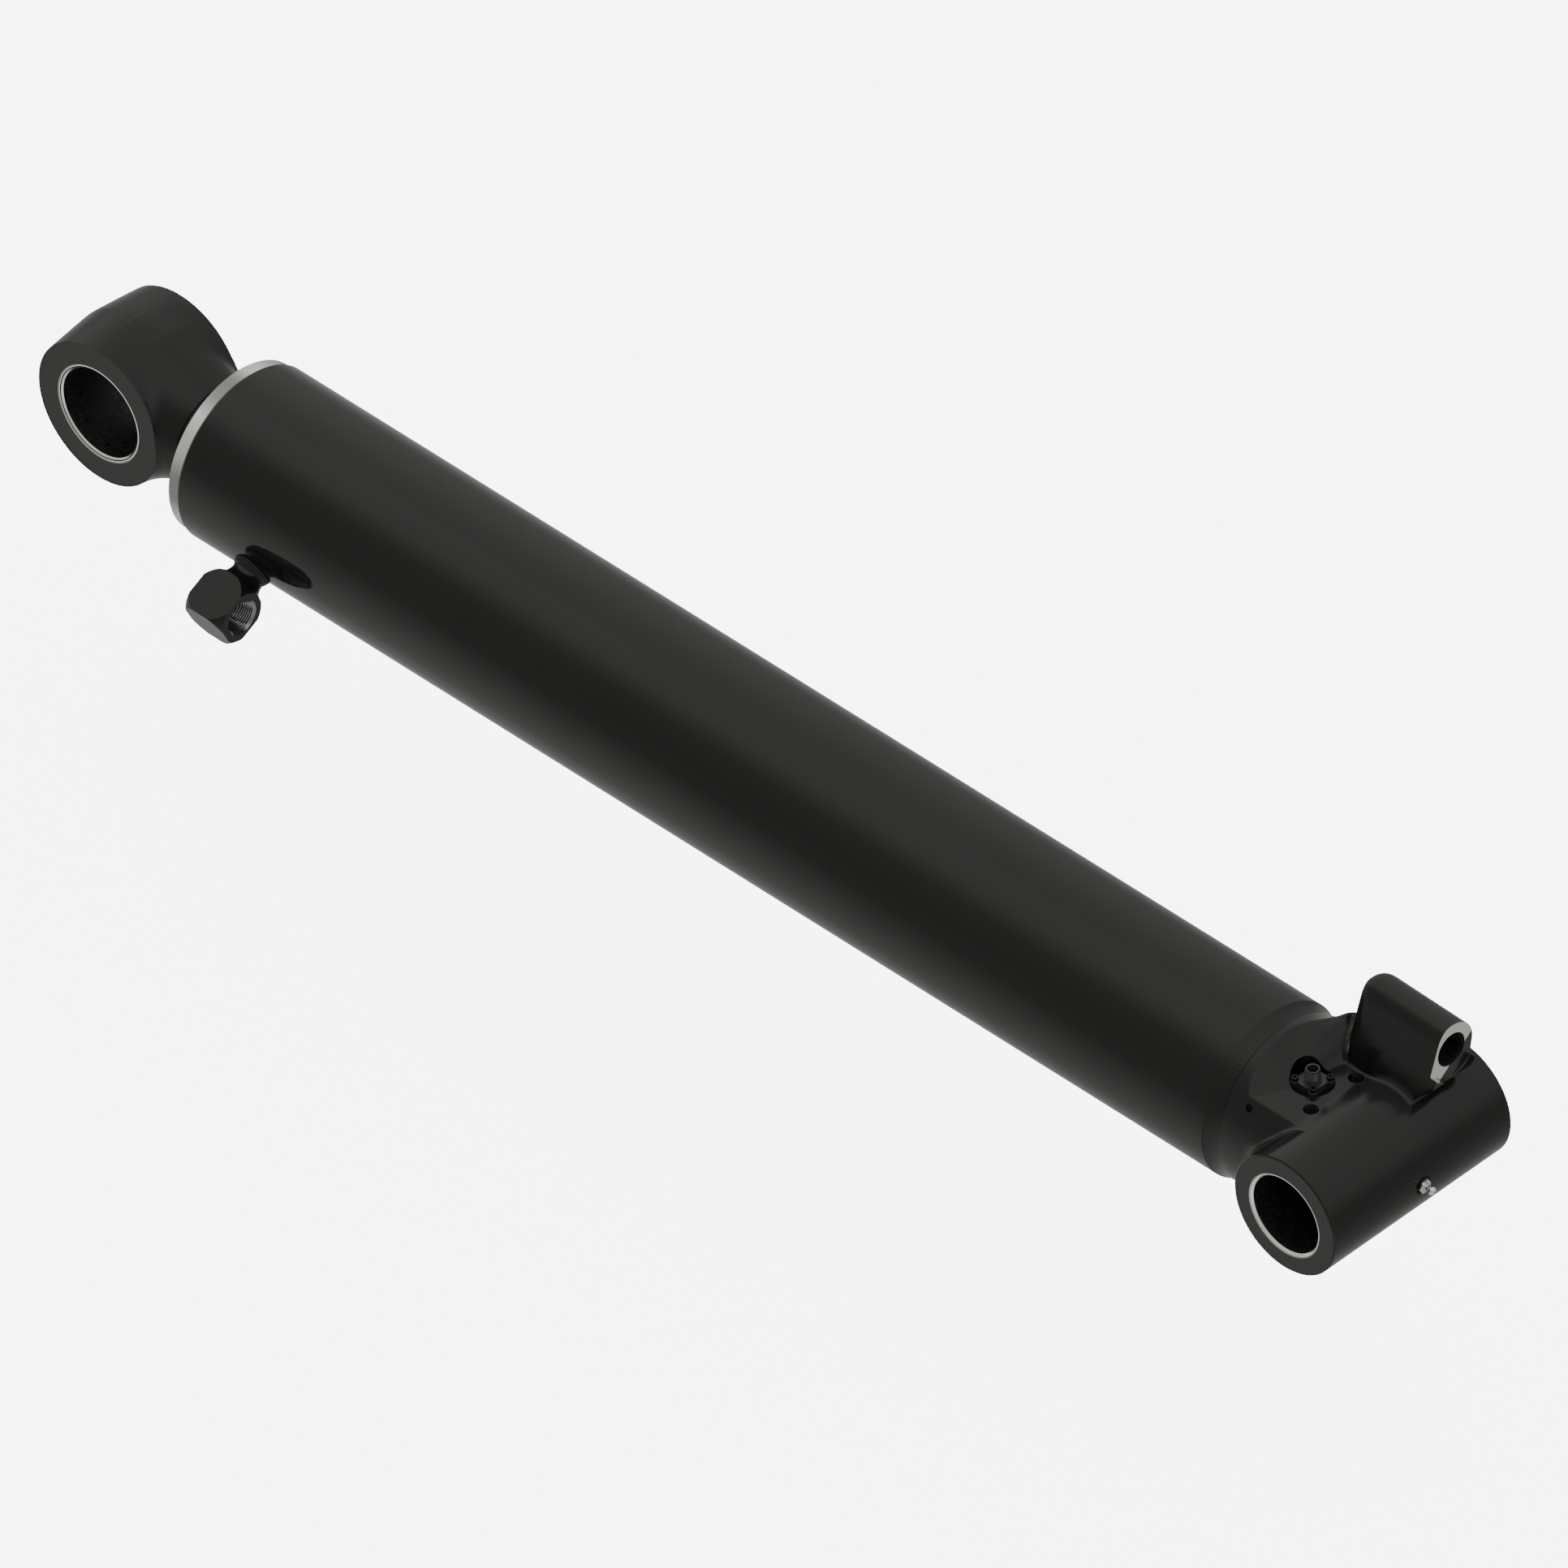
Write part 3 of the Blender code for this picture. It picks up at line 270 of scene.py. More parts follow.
def dark_metal(name, ground, crest, rough):
    """Oiled black metal, worn bright in specks: threads and black oxide screws, and the near-black painted
    shade inside drillings.
    """
    g = Graph(name)
    specks = g.spots(1500, 0.02, 0.11)
    cloud = g.noise(380, 4, roughness=0.6)
    base = g.mix(cloud, ground, crest)
    colour = g.mix(g.math("MULTIPLY", specks, 0.35), base, (0.22, 0.21, 0.20))
    return g.finish(0.9, Base_Color=colour, Roughness=g.between(cloud, 0.3, 0.7, rough - 0.07, rough + 0.07),
                    Normal=g.bump(cloud, 0.12, 0.0001))


def port_face(name):
    """A turned port face: bare metal above a slanting line, and below it near-black non-metal as painted
    shade for the shade in the spotface.
    """
    g = Graph(name)
    parts = g.split(g.point)
    across = g.math("MULTIPLY", g.math("SUBTRACT", parts[1], PORT.y), -0.634)
    up = g.math("MULTIPLY", g.math("SUBTRACT", parts[2], PORT.z), 0.773)
    ragged = g.math("MULTIPLY", g.math("SUBTRACT", g.noise(700, 3), 0.5), 0.0012)
    height = g.math("ADD", g.math("ADD", across, up), ragged)
    unshaded = g.between(height, *PAINTED_SHADE_LINE)
    to_port = (0.0, -PORT.y, -PORT.z)
    offset = g.add("ShaderNodeVectorMath", {0: g.point, 1: to_port}, operation="ADD").outputs[0]
    rings = g.noise(1.0, 2, g.add("ShaderNodeVectorMath", {0: offset}, operation="LENGTH").outputs["Value"])
    # Painted shade: below the line the face is near-black and not metal.
    colour = g.mix(unshaded, (0.012, 0.012, 0.012), (0.86, 0.85, 0.83))
    rough = g.math("ADD", g.between(g.noise(900, 3), 0.3, 0.7, 0.20, 0.32), g.math("MULTIPLY", rings, 0.02))
    return g.finish(unshaded, Base_Color=colour, Roughness=rough, Normal=g.bump(g.noise(1200, 2), 0.05, 0.0001))


MATERIALS = {
    "black_paint": paint("gloss_black_paint", cast=False),
    "cast_paint": paint("gloss_black_paint_on_casting", cast=True),
    # Bright steel carries painted highlight and shade bands by angle.
    "bright_steel": turned_steel("bright_turned_steel_painted_bands", (0.97, 0.96, 0.94), "X", painted_bands=0.75),
    "machined_steel": turned_steel("machined_steel", (0.66, 0.65, 0.63), "X", 0.30, 3600),
    "hard_chrome": chrome("hard_chrome"),
    "honed_steel": honed("honed_steel"),
    "cast_iron": iron("turned_cast_iron"),
    "bushing_steel": turned_steel("ground_bushing_steel", (0.98, 0.97, 0.95), "Y", 0.20, 6400, 0.04),
    # Painted shade for the bushings' bores and the rod eye bushing's face grooves.
    "bore_painted_shade": bore_painted_shade("bushing_bore_painted_shade"),
    "zinc_steel": zinc("bright_zinc"),
    "seal_rubber": moulded("nitrile_rubber", (0.014, 0.014, 0.014), (0.024, 0.024, 0.024), 0.48, 1400,
                           0.0002),
    "seal_polyurethane": moulded("polyurethane", (0.03, 0.08, 0.15), (0.05, 0.12, 0.21), 0.26, 500, 0.0001),
    "guide_composite": woven_resin("woven_resin"),
    "sensor_plastic": moulded("glass_filled_plastic", (0.020, 0.020, 0.020), (0.033, 0.033, 0.032),
                              0.34, 2600, 0.00012, specks=0.35),
    "black_oxide_steel": dark_metal("black_oxide_steel", (0.020, 0.020, 0.021), (0.045, 0.044, 0.043), 0.34),
    # Painted shade inside drillings and threaded holes.
    "dark_bore": dark_metal("drilling_with_painted_shade", (0.006, 0.006, 0.006), (0.014, 0.013, 0.012), 0.42),
    "thread": dark_metal("oiled_thread", (0.20, 0.20, 0.20), (0.36, 0.36, 0.36), 0.13),
    "port_face": port_face("turned_port_face_painted_shade"),
    "brass": turned_steel("gold_flashed_brass", (0.78, 0.60, 0.28), "Z", 0.20),
}

# ---------------------------------------------------------------- mesh tools


def new_object(name, points, faces, finish):
    mesh = bpy.data.meshes.new(name)
    mesh.from_pydata([tuple(point) for point in points], [], faces)
    mesh.materials.append(MATERIALS[finish])
    shape = bmesh.new()
    shape.from_mesh(mesh)
    bmesh.ops.recalc_face_normals(shape, faces=shape.faces)
    shape.to_mesh(mesh)
    shape.free()
    obj = bpy.data.objects.new(name, mesh)
    bpy.context.scene.collection.objects.link(obj)
    return obj


def frame_about(centre, axis):
    """A matrix whose Z is the axis and whose origin is the centre."""
    turn = Vector(axis).normalized().to_track_quat("Z", "Y").to_matrix().to_4x4()
    return Matrix.Translation(Vector(centre)) @ turn


def lathe(name, profile, centre, axis, finish, segments=FINE, shape=None):
    """Turns a closed profile of (radius, height) about an axis. Points at radius 0 close on it.

    shape(radius, height, angle) may return another radius, for what isn't quite round.
    """
    place = frame_about(centre, axis)
    on_axis = [radius < TINY for radius, _ in profile]
    points = []
    index = []
    for (radius, height), closed in zip(profile, on_axis):
        if closed:
            index.append([len(points)] * segments)
            points.append(place @ Vector((0, 0, height)))
            continue
        index.append(list(range(len(points), len(points) + segments)))
        for step in range(segments):
            angle = math.tau * step / segments
            there = shape(radius, height, angle) if shape else radius
            points.append(place @ Vector((there * math.cos(angle), there * math.sin(angle), height)))
    faces = []
    for a in range(len(profile)):
        b = (a + 1) % len(profile)
        if on_axis[a] and on_axis[b]:
            continue
        for step in range(segments):
            after = (step + 1) % segments
            corners = [index[a][step], index[b][step], index[b][after], index[a][after]]
            faces.append(list(dict.fromkeys(corners)))
    return new_object(name, points, faces, finish)


def rounded(profile, radius=EDGE, steps=3):
    """The profile with each outward corner away from the axis rounded."""
    points = []
    count = len(profile)
    area = sum(profile[i - 1][0] * profile[i][1] - profile[i][0] * profile[i - 1][1] for i in range(count))
    side = 1 if area > 0 else -1
    for i, (r, h) in enumerate(profile):
        here = Vector((r, h))
        back = Vector(profile[i - 1]) - here
        ahead = Vector(profile[(i + 1) % count]) - here
        turn = side * (ahead.x * back.y - ahead.y * back.x)
        if turn <= 0 or min(r, back.length, ahead.length) < TINY:
            points.append((r, h))
            continue
        half = back.angle(ahead) / 2
        reach = min(radius / math.tan(half), 0.45 * back.length, 0.45 * ahead.length)
        start = here + back.normalized() * reach
        end = here + ahead.normalized() * reach
        for step in range(steps + 1):
            t = step / steps
            bend = start * (1 - t) ** 2 + here * 2 * t * (1 - t) + end * t**2
            points.append((bend.x, bend.y))
    return points


def merged_copy(node):
    shape = bmesh.new()
    shape.from_mesh(frame["nodes"][node].data)
    bmesh.ops.remove_doubles(shape, verts=shape.verts, dist=2e-6)
    return shape


def facets_of(points, centre, axis):
    """How many flats stand in for the round of a turned node."""
    place = frame_about(centre, axis).inverted()
    local = np.array([place @ point for point in points])
    radius = np.hypot(local[:, 0], local[:, 1])
    outer = local[radius > radius.max() - 2e-6]
    angles = np.degrees(np.arctan2(outer[:, 1], outer[:, 0])) % 360
    return len(np.unique(np.round(angles, 1) % 360))


def profile_of(node, centre, axis):
    """The profile of a turned CAD node, read from a cut through the middle of one of its flats."""
    shape = merged_copy(node)
    facets = facets_of([vertex.co for vertex in shape.verts], centre, axis)
    place = frame_about(centre, axis)
    angle = math.pi / facets
    outward = place.to_3x3() @ Vector((math.cos(angle), math.sin(angle), 0))
    normal = place.to_3x3() @ Vector((-math.sin(angle), math.cos(angle), 0))
    everything = shape.verts[:] + shape.edges[:] + shape.faces[:]
    cut = bmesh.ops.bisect_plane(shape, geom=everything, plane_co=Vector(centre), plane_no=normal, dist=TINY)
    edges = [item for item in cut["geom_cut"] if isinstance(item, bmesh.types.BMEdge)]
    links = {}
    for edge in edges:
        ends = []
        for vertex in edge.verts:
            offset = vertex.co - Vector(centre)
            radius = offset.dot(outward) / math.cos(angle)
            ends.append((round(radius, 6), round(offset.dot(Vector(axis)), 6)))
        if max(ends[0][0], ends[1][0]) > -1e-5 and ends[0] != ends[1]:
            links.setdefault(ends[0], []).append(ends[1])
            links.setdefault(ends[1], []).append(ends[0])
    shape.free()
    return straightened(clipped_loop(links))


def clipped_loop(links):
    """Walks a closed loop of points and keeps the half with radius over 0, ended on the axis."""
    ends = [point for point, others in links.items() if len(others) == 1]
    start = min(ends) if ends else max(links)
    loop = [start]
    before = None
    while True:
        onward = [point for point in links[loop[-1]] if point != before]
        before = loop[-1]
        if not onward or onward[0] == start:
            break
        loop.append(onward[0])
        if len(loop) > len(links):
            break
    kept = []
    for i, (radius, height) in enumerate(loop):
        back = loop[i - 1]
        if (radius > 1e-6) != (back[0] > 1e-6):
            share = back[0] / (back[0] - radius)
            kept.append((0.0, back[1] + (height - back[1]) * share))
        if radius > 1e-6:
            kept.append((radius, height))
    return kept


def straightened(profile):
    """Without the points that lie on a straight line between their neighbours."""
    kept = list(profile)
    i = 0
    while i < len(kept) and len(kept) > 3:
        before = Vector(kept[i - 1])
        here = Vector(kept[i])
        after = Vector(kept[(i + 1) % len(kept)])
        area = abs((here - before).cross(after - here))
        if area < 2e-6 * max((after - before).length, 1e-6):
            kept.pop(i)
            i = max(i - 1, 0)
        else:
            i += 1
    return kept


def combined(obj, tools, operation="DIFFERENCE"):
    """Cuts or joins the tools, which leave their own materials behind, and removes them."""
    for tool in tools:
        modifier = obj.modifiers.new(tool.name, "BOOLEAN")
        modifier.operation = operation
        modifier.solver = "MANIFOLD"
        modifier.material_mode = "TRANSFER"
        modifier.object = tool
    bpy.context.view_layer.update()
    graph = bpy.context.evaluated_depsgraph_get()
    mesh = bpy.data.meshes.new_from_object(obj.evaluated_get(graph))
    obj.modifiers.clear()
    obj.data = mesh
    for tool in tools:
        bpy.data.objects.remove(tool, do_unlink=True)
    return obj


def rod_tool(radius, start, end, finish, segments=SMALL, flare=0.0, flare_at_start=0.0):
    """A round cutter between two points. It widens by a chamfer that ends flush with either point."""
    start = Vector(start)
    along = Vector(end) - start
    length = along.length
    over = 0.004
    profile = [(0, -over if flare_at_start else 0)]
    if flare_at_start:
        profile += [(radius + flare_at_start + over, -over), (radius, flare_at_start)]
    else:
        profile += [(radius, 0)]
    if flare:
        profile += [(radius, length - flare), (radius + flare + over, length + over), (0, length + over)]
    else:
        profile += [(radius, length), (0, length)]
    return lathe("tool", profile, start, along, finish, segments)


def thread_tool(crest, root, pitch, start, end, finish, chamfer, segments=96):
    """A cutter for a threaded hole whose mouth is at its end: crest and root are the hole's two radii."""
    along = Vector(end) - Vector(start)
    length = along.length
    over = 0.004
    rows = int(length / pitch * THREAD_STEPS)
    heights = [length * row / rows for row in range(rows + 1)] + [length + over]

    def threaded(radius, height, angle):
        phase = (height / pitch - angle / math.tau) % 1.0
        wave = min(1.0, max(0.0, 1.25 * (1 - abs(2 * phase - 1)) - 0.125))
        cut = crest + (root - crest) * wave
        return max(cut, root + chamfer - (length - height))

    profile = [(0, 0), *[(crest, height) for height in heights], (0, length + over)]
    return lathe("tool", profile, start, along, finish, segments, threaded)


def slab(low, high, finish, place=Matrix.Identity(4)):
    corners = [(x, y, z) for x in (low[0], high[0]) for y in (low[1], high[1]) for z in (low[2], high[2])]
    faces = [(0, 1, 3, 2), (4, 6, 7, 5), (0, 4, 5, 1), (2, 3, 7, 6), (0, 2, 6, 4), (1, 5, 7, 3)]
    return new_object("tool", [place @ Vector(corner) for corner in corners], faces, finish)


def prism_tool(outline, start, end, finish):
    """An outline of (across, up) points, extruded from start to end."""
    place = frame_about(start, Vector(end) - Vector(start))
    length = (Vector(end) - Vector(start)).length
    count = len(outline)
    points = [place @ Vector((x, y, 0)) for x, y in outline]
    points += [place @ Vector((x, y, length)) for x, y in outline]
    faces = [[i, (i + 1) % count, count + (i + 1) % count, count + i] for i in range(count)]
    faces += [list(range(count))[::-1], list(range(count, 2 * count))]
    return new_object("tool", points, faces, finish)


def polygon(sides, radius):
    angles = [math.tau * step / sides for step in range(sides)]
    return [(radius * math.cos(angle), radius * math.sin(angle)) for angle in angles]


def settle(obj, *nodes):
    """Smooths a piece between its sharp edges, puts it on its body and lets it stand for its CAD node."""
    obj.data.shade_smooth()
    obj.data.set_sharp_from_angle(angle=SHARP)
    obj.name = nodes[0] + "_fine"
    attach(obj, BODY_OF[nodes[0]])
    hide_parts(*nodes)
    return obj


def paint_faces(obj, finish, test):
    """Gives the faces whose middle passes the test another finish."""
    mesh = obj.data
    mesh.materials.append(MATERIALS[finish])
    last = len(mesh.materials) - 1
    for face in mesh.polygons:
        if test(face.center, face.normal):
            face.material_index = last


# ---------------------------------------------------------------- turned pieces

ORIGIN = Vector((0, 0, 0))
TO_ROD = Vector((-1, 0, 0))
PIN_TO_PIN = 1.158
ROD_PIN = Vector((-PIN_TO_PIN, 0, 0))
HEAD_PORT = 0.993
ELBOW_DROP = math.radians(27.0)
ELBOW_OUT = Vector((0, -math.cos(ELBOW_DROP), -math.sin(ELBOW_DROP)))
BARREL_RADIUS = 0.0675


def extent(profile):
    radii = [radius for radius, _ in profile]
    heights = [height for _, height in profile]
    return min(radii), max(radii), min(heights), max(heights)


def turned_again(node, finish, centre=ORIGIN, axis=TO_ROD, segments=96, edge=EDGE):
    """The CAD node's own profile, turned finely and with its corners broken."""
    profile = rounded(profile_of(node, centre, axis), edge)
    return lathe(node, profile, centre, axis, finish, segments)


def round_ring(node, finish):
    """An O-ring of round section, as wide as the CAD node's."""
    inner, outer, low, high = extent(profile_of(node, ORIGIN, TO_ROD))
    middle = ((inner + outer) / 2, (low + high) / 2)
    half = ((outer - inner) / 2, (high - low) / 2)
    angles = [math.tau * step / 24 for step in range(24)]
    profile = [(middle[0] + half[0] * math.cos(a), middle[1] + half[1] * math.sin(a)) for a in angles]
    return lathe(node, profile, ORIGIN, TO_ROD, finish, 128)


def split_ring(node, finish):
    """A guide ring, rounded at its edges and split by a slanting cut so that it can be sprung into place."""
    inner, outer, low, high = extent(profile_of(node, ORIGIN, TO_ROD))
    profile = rounded([(inner, low), (outer, low), (outer, high), (inner, high)], 0.0005)
    ring = lathe(node, profile, ORIGIN, TO_ROD, finish, 128)
    middle = Vector((-(low + high) / 2, 0, (inner + outer) / 2))
    place = Matrix.Translation(middle) @ Matrix.Rotation(math.radians(35), 4, "Z")
    return combined(ring, [slab((-0.03, -0.0005, -0.008), (0.03, 0.0005, 0.008), finish, place)])


def lip_seal(node, finish, facing):
    """A U-cup: two lips with a groove between them, which face along the axis."""
    inner, outer, low, high = extent(profile_of(node, ORIGIN, TO_ROD))
    depth = 0.42 * (high - low)
    lip = 0.28 * (outer - inner)
    relief = 0.0003
    points = [
        (inner + relief, low), (outer - relief, low), (outer - relief, high - depth),
        (outer, high - depth / 3), (outer - relief, high), (outer - lip, high),
        ((inner + outer) / 2, high - depth), (inner + lip, high),
        (inner + relief, high), (inner, high - depth / 3), (inner + relief, high - depth),
    ]
    if facing < 0:
        points = [(radius, low + high - height) for radius, height in reversed(points)]
    return lathe(node, rounded(points, 0.0002, 2), ORIGIN, TO_ROD, finish, 128)


def turn_everything():
    rings = {
        "guide_composite": split_ring,
        "seal_rubber": round_ring,
    }
    for node, finish in SLOT_OF.items():
        if finish in rings and node != "sensor_lead":
            settle(rings[finish](node, finish), node)
    for node, facing in (("gland_rod_seal", -1), ("gland_wiper", 1), ("stage_piston_seal", 1),
                         ("stage_gland_rod_seal", -1), ("stage_gland_wiper", 1), ("rod_piston_seal", 1)):
        settle(lip_seal(node, "seal_polyurethane", facing), node)
    for node in ("stage_piston", "rod_piston", "sensor_unit"):
        settle(turned_again(node, SLOT_OF[node]), node)
    settle(turned_again("piston_rod", "hard_chrome", segments=FINE), "piston_rod")
    settle(turned_again("stage_gland", "bright_steel", segments=FINE), "stage_gland")


def four_ways():
    """Directions across the cylinder, half a quarter turn from its sides."""
    angles = [math.tau * (quarter + 0.5) / 4 for quarter in range(4)]
    return [Vector((0, math.cos(angle), math.sin(angle))) for angle in angles]


def cross_holes(radius, station, inner, outer, finish):
    middle = TO_ROD * station
    return [rod_tool(radius, middle + out * inner, middle + out * outer, finish, 48, 0.0005)
            for out in four_ways()]


def stage_tubes():
    outer = turned_again("stage_outer_tube", "hard_chrome", segments=FINE)
    combined(outer, cross_holes(0.004, 0.200, 0.041, 0.050, "hard_chrome"))
    paint_faces(outer, "honed_steel", lambda c, n: math.hypot(c.y, c.z) < 0.0445)
    settle(outer, "stage_outer_tube")
    liner = turned_again("stage_inner_tube", "honed_steel", segments=FINE)
    combined(liner, cross_holes(0.003, 0.985, 0.035, 0.042, "honed_steel"))
    settle(liner, "stage_inner_tube")


def barrel():
    tube = turned_again("barrel_tube", "black_paint", segments=FINE)
    middle = Vector((-HEAD_PORT, 0, 0))
    drill = rod_tool(0.008, middle + ELBOW_OUT * 0.050, middle + ELBOW_OUT * 0.080, "honed_steel", SMALL)
    combined(tube, [drill])
    paint_faces(tube, "honed_steel", lambda c, n: math.hypot(c.y, c.z) < 0.0578)
    settle(tube, "barrel_tube")


def head_gland():
    """The screwed-in gland, with four holes in its face for a pin spanner."""
    gland = turned_again("head_gland", "bright_steel", segments=FINE)
    mouths = [out * 0.0604 + TO_ROD * 1.068 for out in four_ways()]
    tools = [rod_tool(0.0022, mouth - TO_ROD * 0.006, mouth, "bright_steel", 48, 0.0004) for mouth in mouths]
    settle(combined(gland, tools), "head_gland")


def face_groove(centre, side):
    """A ring groove in the end face of the rod eye's bushing, its faces near-black with painted shade."""
    end = 0.0402
    profile = [(0.0362, end - 0.0006), (0.0371, end - 0.0006), (0.0371, end + 0.001), (0.0362, end + 0.001)]
    return lathe("tool", profile, centre, side * Y_AXIS, "bore_painted_shade", FINE)


def bushings():
    places = (("base_bushing_rear", ORIGIN, 0.030), ("base_bushing_front", ORIGIN, 0.030),
              ("rod_eye_bushing", ROD_PIN, 0.035))
    for node, centre, bore in places:
        ring = turned_again(node, "bushing_steel", centre, Y_AXIS, FINE, 0.0003)
        if node == "rod_eye_bushing":
            combined(ring, [face_groove(centre, side) for side in (-1, 1)])
        # The faces in the bore are given near-black painted shade.
        in_shaded_bore = (lambda c, n, centre=centre, bore=bore: math.hypot(c.x - centre.x, c.z) < bore + 0.0002)
        paint_faces(ring, "bore_painted_shade", in_shaded_bore)
        settle(ring, node)


# ---------------------------------------------------------------- welds


def weld_ripple(angle, across, count, seed):
    """Crescent ripples of a weld pass: across runs from -1 to 1 over the bead."""
    drift = 0.5 * math.sin(3 * angle + seed) + 0.35 * math.sin(7 * angle + 2 * seed)
    return abs(math.sin(count * angle / 2 + 1.1 * across * across + drift))


def rippled(low, high, root, depth, count, seed):
    """A shape for lathe: ripples on what lies outside the root's radius, faded out at both heights."""
    def bead(radius, height, angle):
        share = (height - low) / (high - low)
        if radius < root or share > 0.999:
            return radius
        return radius - depth * math.sin(math.pi * share) * weld_ripple(angle, 2 * share - 1, count, seed)
    return bead


def weld_face(inner, outer, low, high, power, bulge, steps):
    """The outside of a bead from (inner, low) to (outer, high): a power curve with a bulge on it."""
    points = []
    for step in range(steps + 1):
        share = step / steps
        out = inner + (outer - inner) * share**power + bulge * math.sin(math.pi * share)
        points.append((out, low + (high - low) * share))
    return points


def base_weld():
    """A fillet weld that fills the groove between neck and barrel, up over the barrel's chamfer."""
    inner = 0.0590
    toe = 0.0634
    low = 0.0843
    high = 0.0955
    face = weld_face(toe, 0.0671, low, high, 2.2, 0.0004, 20)
    profile = [(inner, low), *face, (0.0669, high), (0.0643, 0.0929), (inner, 0.0927)]
    bead = rippled(low, high, toe - 0.0005, 0.00009, 120, 1.0)
    settle(lathe("bead", profile, ORIGIN, TO_ROD, "cast_paint", 720, bead), "base_weld_bead")


def rod_weld():
    inner, outer, low, high = extent(profile_of("rod_eye_weld", ORIGIN, TO_ROD))
    profile = [*weld_face(inner, outer, low, high, 0.8, 0.0008, 16), (inner, high)]
    bead = rippled(low, high, inner + 0.0002, 0.0007, 80, 2.0)
    settle(lathe("bead", profile, ORIGIN, TO_ROD, "cast_paint", 720, bead), "rod_eye_weld")


# ---------------------------------------------------------------- head port

ELBOW_REACH = 0.100
ELBOW_HALF = 0.0178
ELBOW_SPHERE = 0.0260
ELBOW_NECK = 0.0124
ELBOW_CENTRE = Vector((-HEAD_PORT, 0, 0)) + ELBOW_OUT * ELBOW_REACH


def arc(centre, radius, start, end, count):
    angles = [math.radians(start + (end - start) * i / (count - 1)) for i in range(count)]
    return [(centre[0] + radius * math.cos(a), centre[1] + radius * math.sin(a)) for a in angles]


def barrel_tool(gap):
    middle = Vector((-HEAD_PORT, 0, 0))
    reach = X_AXIS * 0.045
    return rod_tool(BARREL_RADIUS + gap, middle - reach, middle + reach, "black_paint", 512)


def elbow_place():
    side = ELBOW_OUT.cross(X_AXIS)
    place = Matrix((X_AXIS, side, ELBOW_OUT)).transposed().to_4x4()
    place.translation = ELBOW_CENTRE
    return place


def elbow():
    """A square forged block with turned shoulders, a waisted neck and a G 3/4 threaded port."""
    lowest = -ELBOW_REACH + BARREL_RADIUS - 0.004
    first = math.degrees(math.asin(ELBOW_HALF / ELBOW_SPHERE))
    shoulder = arc((0, 0), ELBOW_SPHERE, first, -44, 40)
    waist = arc((0.0246, -0.0275), 0.0122, 142, 180, 12)
    profile = [(0, ELBOW_HALF), *shoulder, (0.0160, -0.0196), *waist[1:], (ELBOW_NECK, lowest), (0, lowest)]
    body = lathe("elbow", profile, ELBOW_CENTRE, ELBOW_OUT, "black_paint", FINE)
    edge = 0.0007
    half = ELBOW_HALF
    square = [(half - edge, -half), (half, edge - half), (half, half - edge), (half - edge, half),
              (edge - half, half), (-half, half - edge), (-half, edge - half), (edge - half, -half)]
    place = elbow_place()
    low = place @ Vector((0, 0, lowest - 0.010))
    block = prism_tool(square, low, ELBOW_CENTRE + ELBOW_OUT * 0.030, "black_paint")
    turn_to(block, low, ELBOW_OUT, X_AXIS)
    combined(body, [block], "INTERSECT")
    face = ELBOW_CENTRE + X_AXIS * half
    thread = thread_tool(0.0121, 0.0132, G_THREE_QUARTER_PITCH, ELBOW_CENTRE - X_AXIS * 0.002, face, "thread",
                         0.0005)
    # The drilling is given near-black painted shade.
    drilled = (place @ Vector((0, 0, lowest - 0.004)), place @ Vector((0, 0, 0.006)))
    drill = rod_tool(0.008, *drilled, "dark_bore")
    combined(body, [barrel_tool(0.0003)])
    combined(body, [drill])
    combined(body, [thread])
    settle(body, "head_port_elbow")


def turn_to(obj, centre, axis, side):
    """Turns a prism about its axis until its outline's first direction lies along side."""
    now = frame_about(centre, axis)
    wanted = Matrix((side, axis.cross(side), axis)).transposed().to_4x4()
    wanted.translation = centre
    obj.data.transform(wanted @ now.inverted())


def elbow_bead():
    seat = -ELBOW_REACH + BARREL_RADIUS
    inner = ELBOW_NECK + 0.0003
    top = seat + 0.0045
    foot = seat - 0.0040
    profile = [*weld_face(inner, inner + 0.0034, top, foot, 0.75, 0.0, 18), (inner, foot)]
    bead = rippled(top, foot, inner + 0.00005, 0.0005, 44, 3.0)
    weld = lathe("bead", profile, ELBOW_CENTRE, ELBOW_OUT, "cast_paint", 480, bead)
    settle(combined(weld, [barrel_tool(0.0003)]), "elbow_weld")


# ---------------------------------------------------------------- small fittings

SENSOR = Vector((-0.0473, -0.0095, 0))
SET_SCREW = Vector((-0.0645, 0, 0))
SET_SCREW_RISE = math.radians(33.8)
SET_SCREW_OUT = Vector((0, -math.cos(SET_SCREW_RISE), math.sin(SET_SCREW_RISE)))


def grease_nipple():
    profile = [(0, 0.0574), (0.0013, 0.0574), *arc((0, 0.0546), 0.0032, 62, -44, 24), (0.0022, 0.0514),
               (0.0024, 0.0491), (0.0040, 0.0484), (0.0040, 0.0352), (0.0032, 0.0344), (0, 0.0344)]
    nipple = lathe("nipple", profile, ORIGIN, X_AXIS, "zinc_steel", 96)
    hexagon = prism_tool(polygon(6, 0.0056), (0.0448, 0, 0), (0.0490, 0, 0), "zinc_steel")
    crown = [(0, 0.0447), (0.0049, 0.0447), (0.0056, 0.0453), (0.0056, 0.0485), (0.0049, 0.0491), (0, 0.0491)]
    combined(hexagon, [lathe("tool", crown, ORIGIN, X_AXIS, "zinc_steel", 96)], "INTERSECT")
    combined(nipple, [hexagon], "UNION")
    hole = rod_tool(0.0006, (0.0560, 0, 0), (0.0574, 0, 0), "zinc_steel", 24)
    settle(combined(nipple, [hole]), "base_grease_nipple")


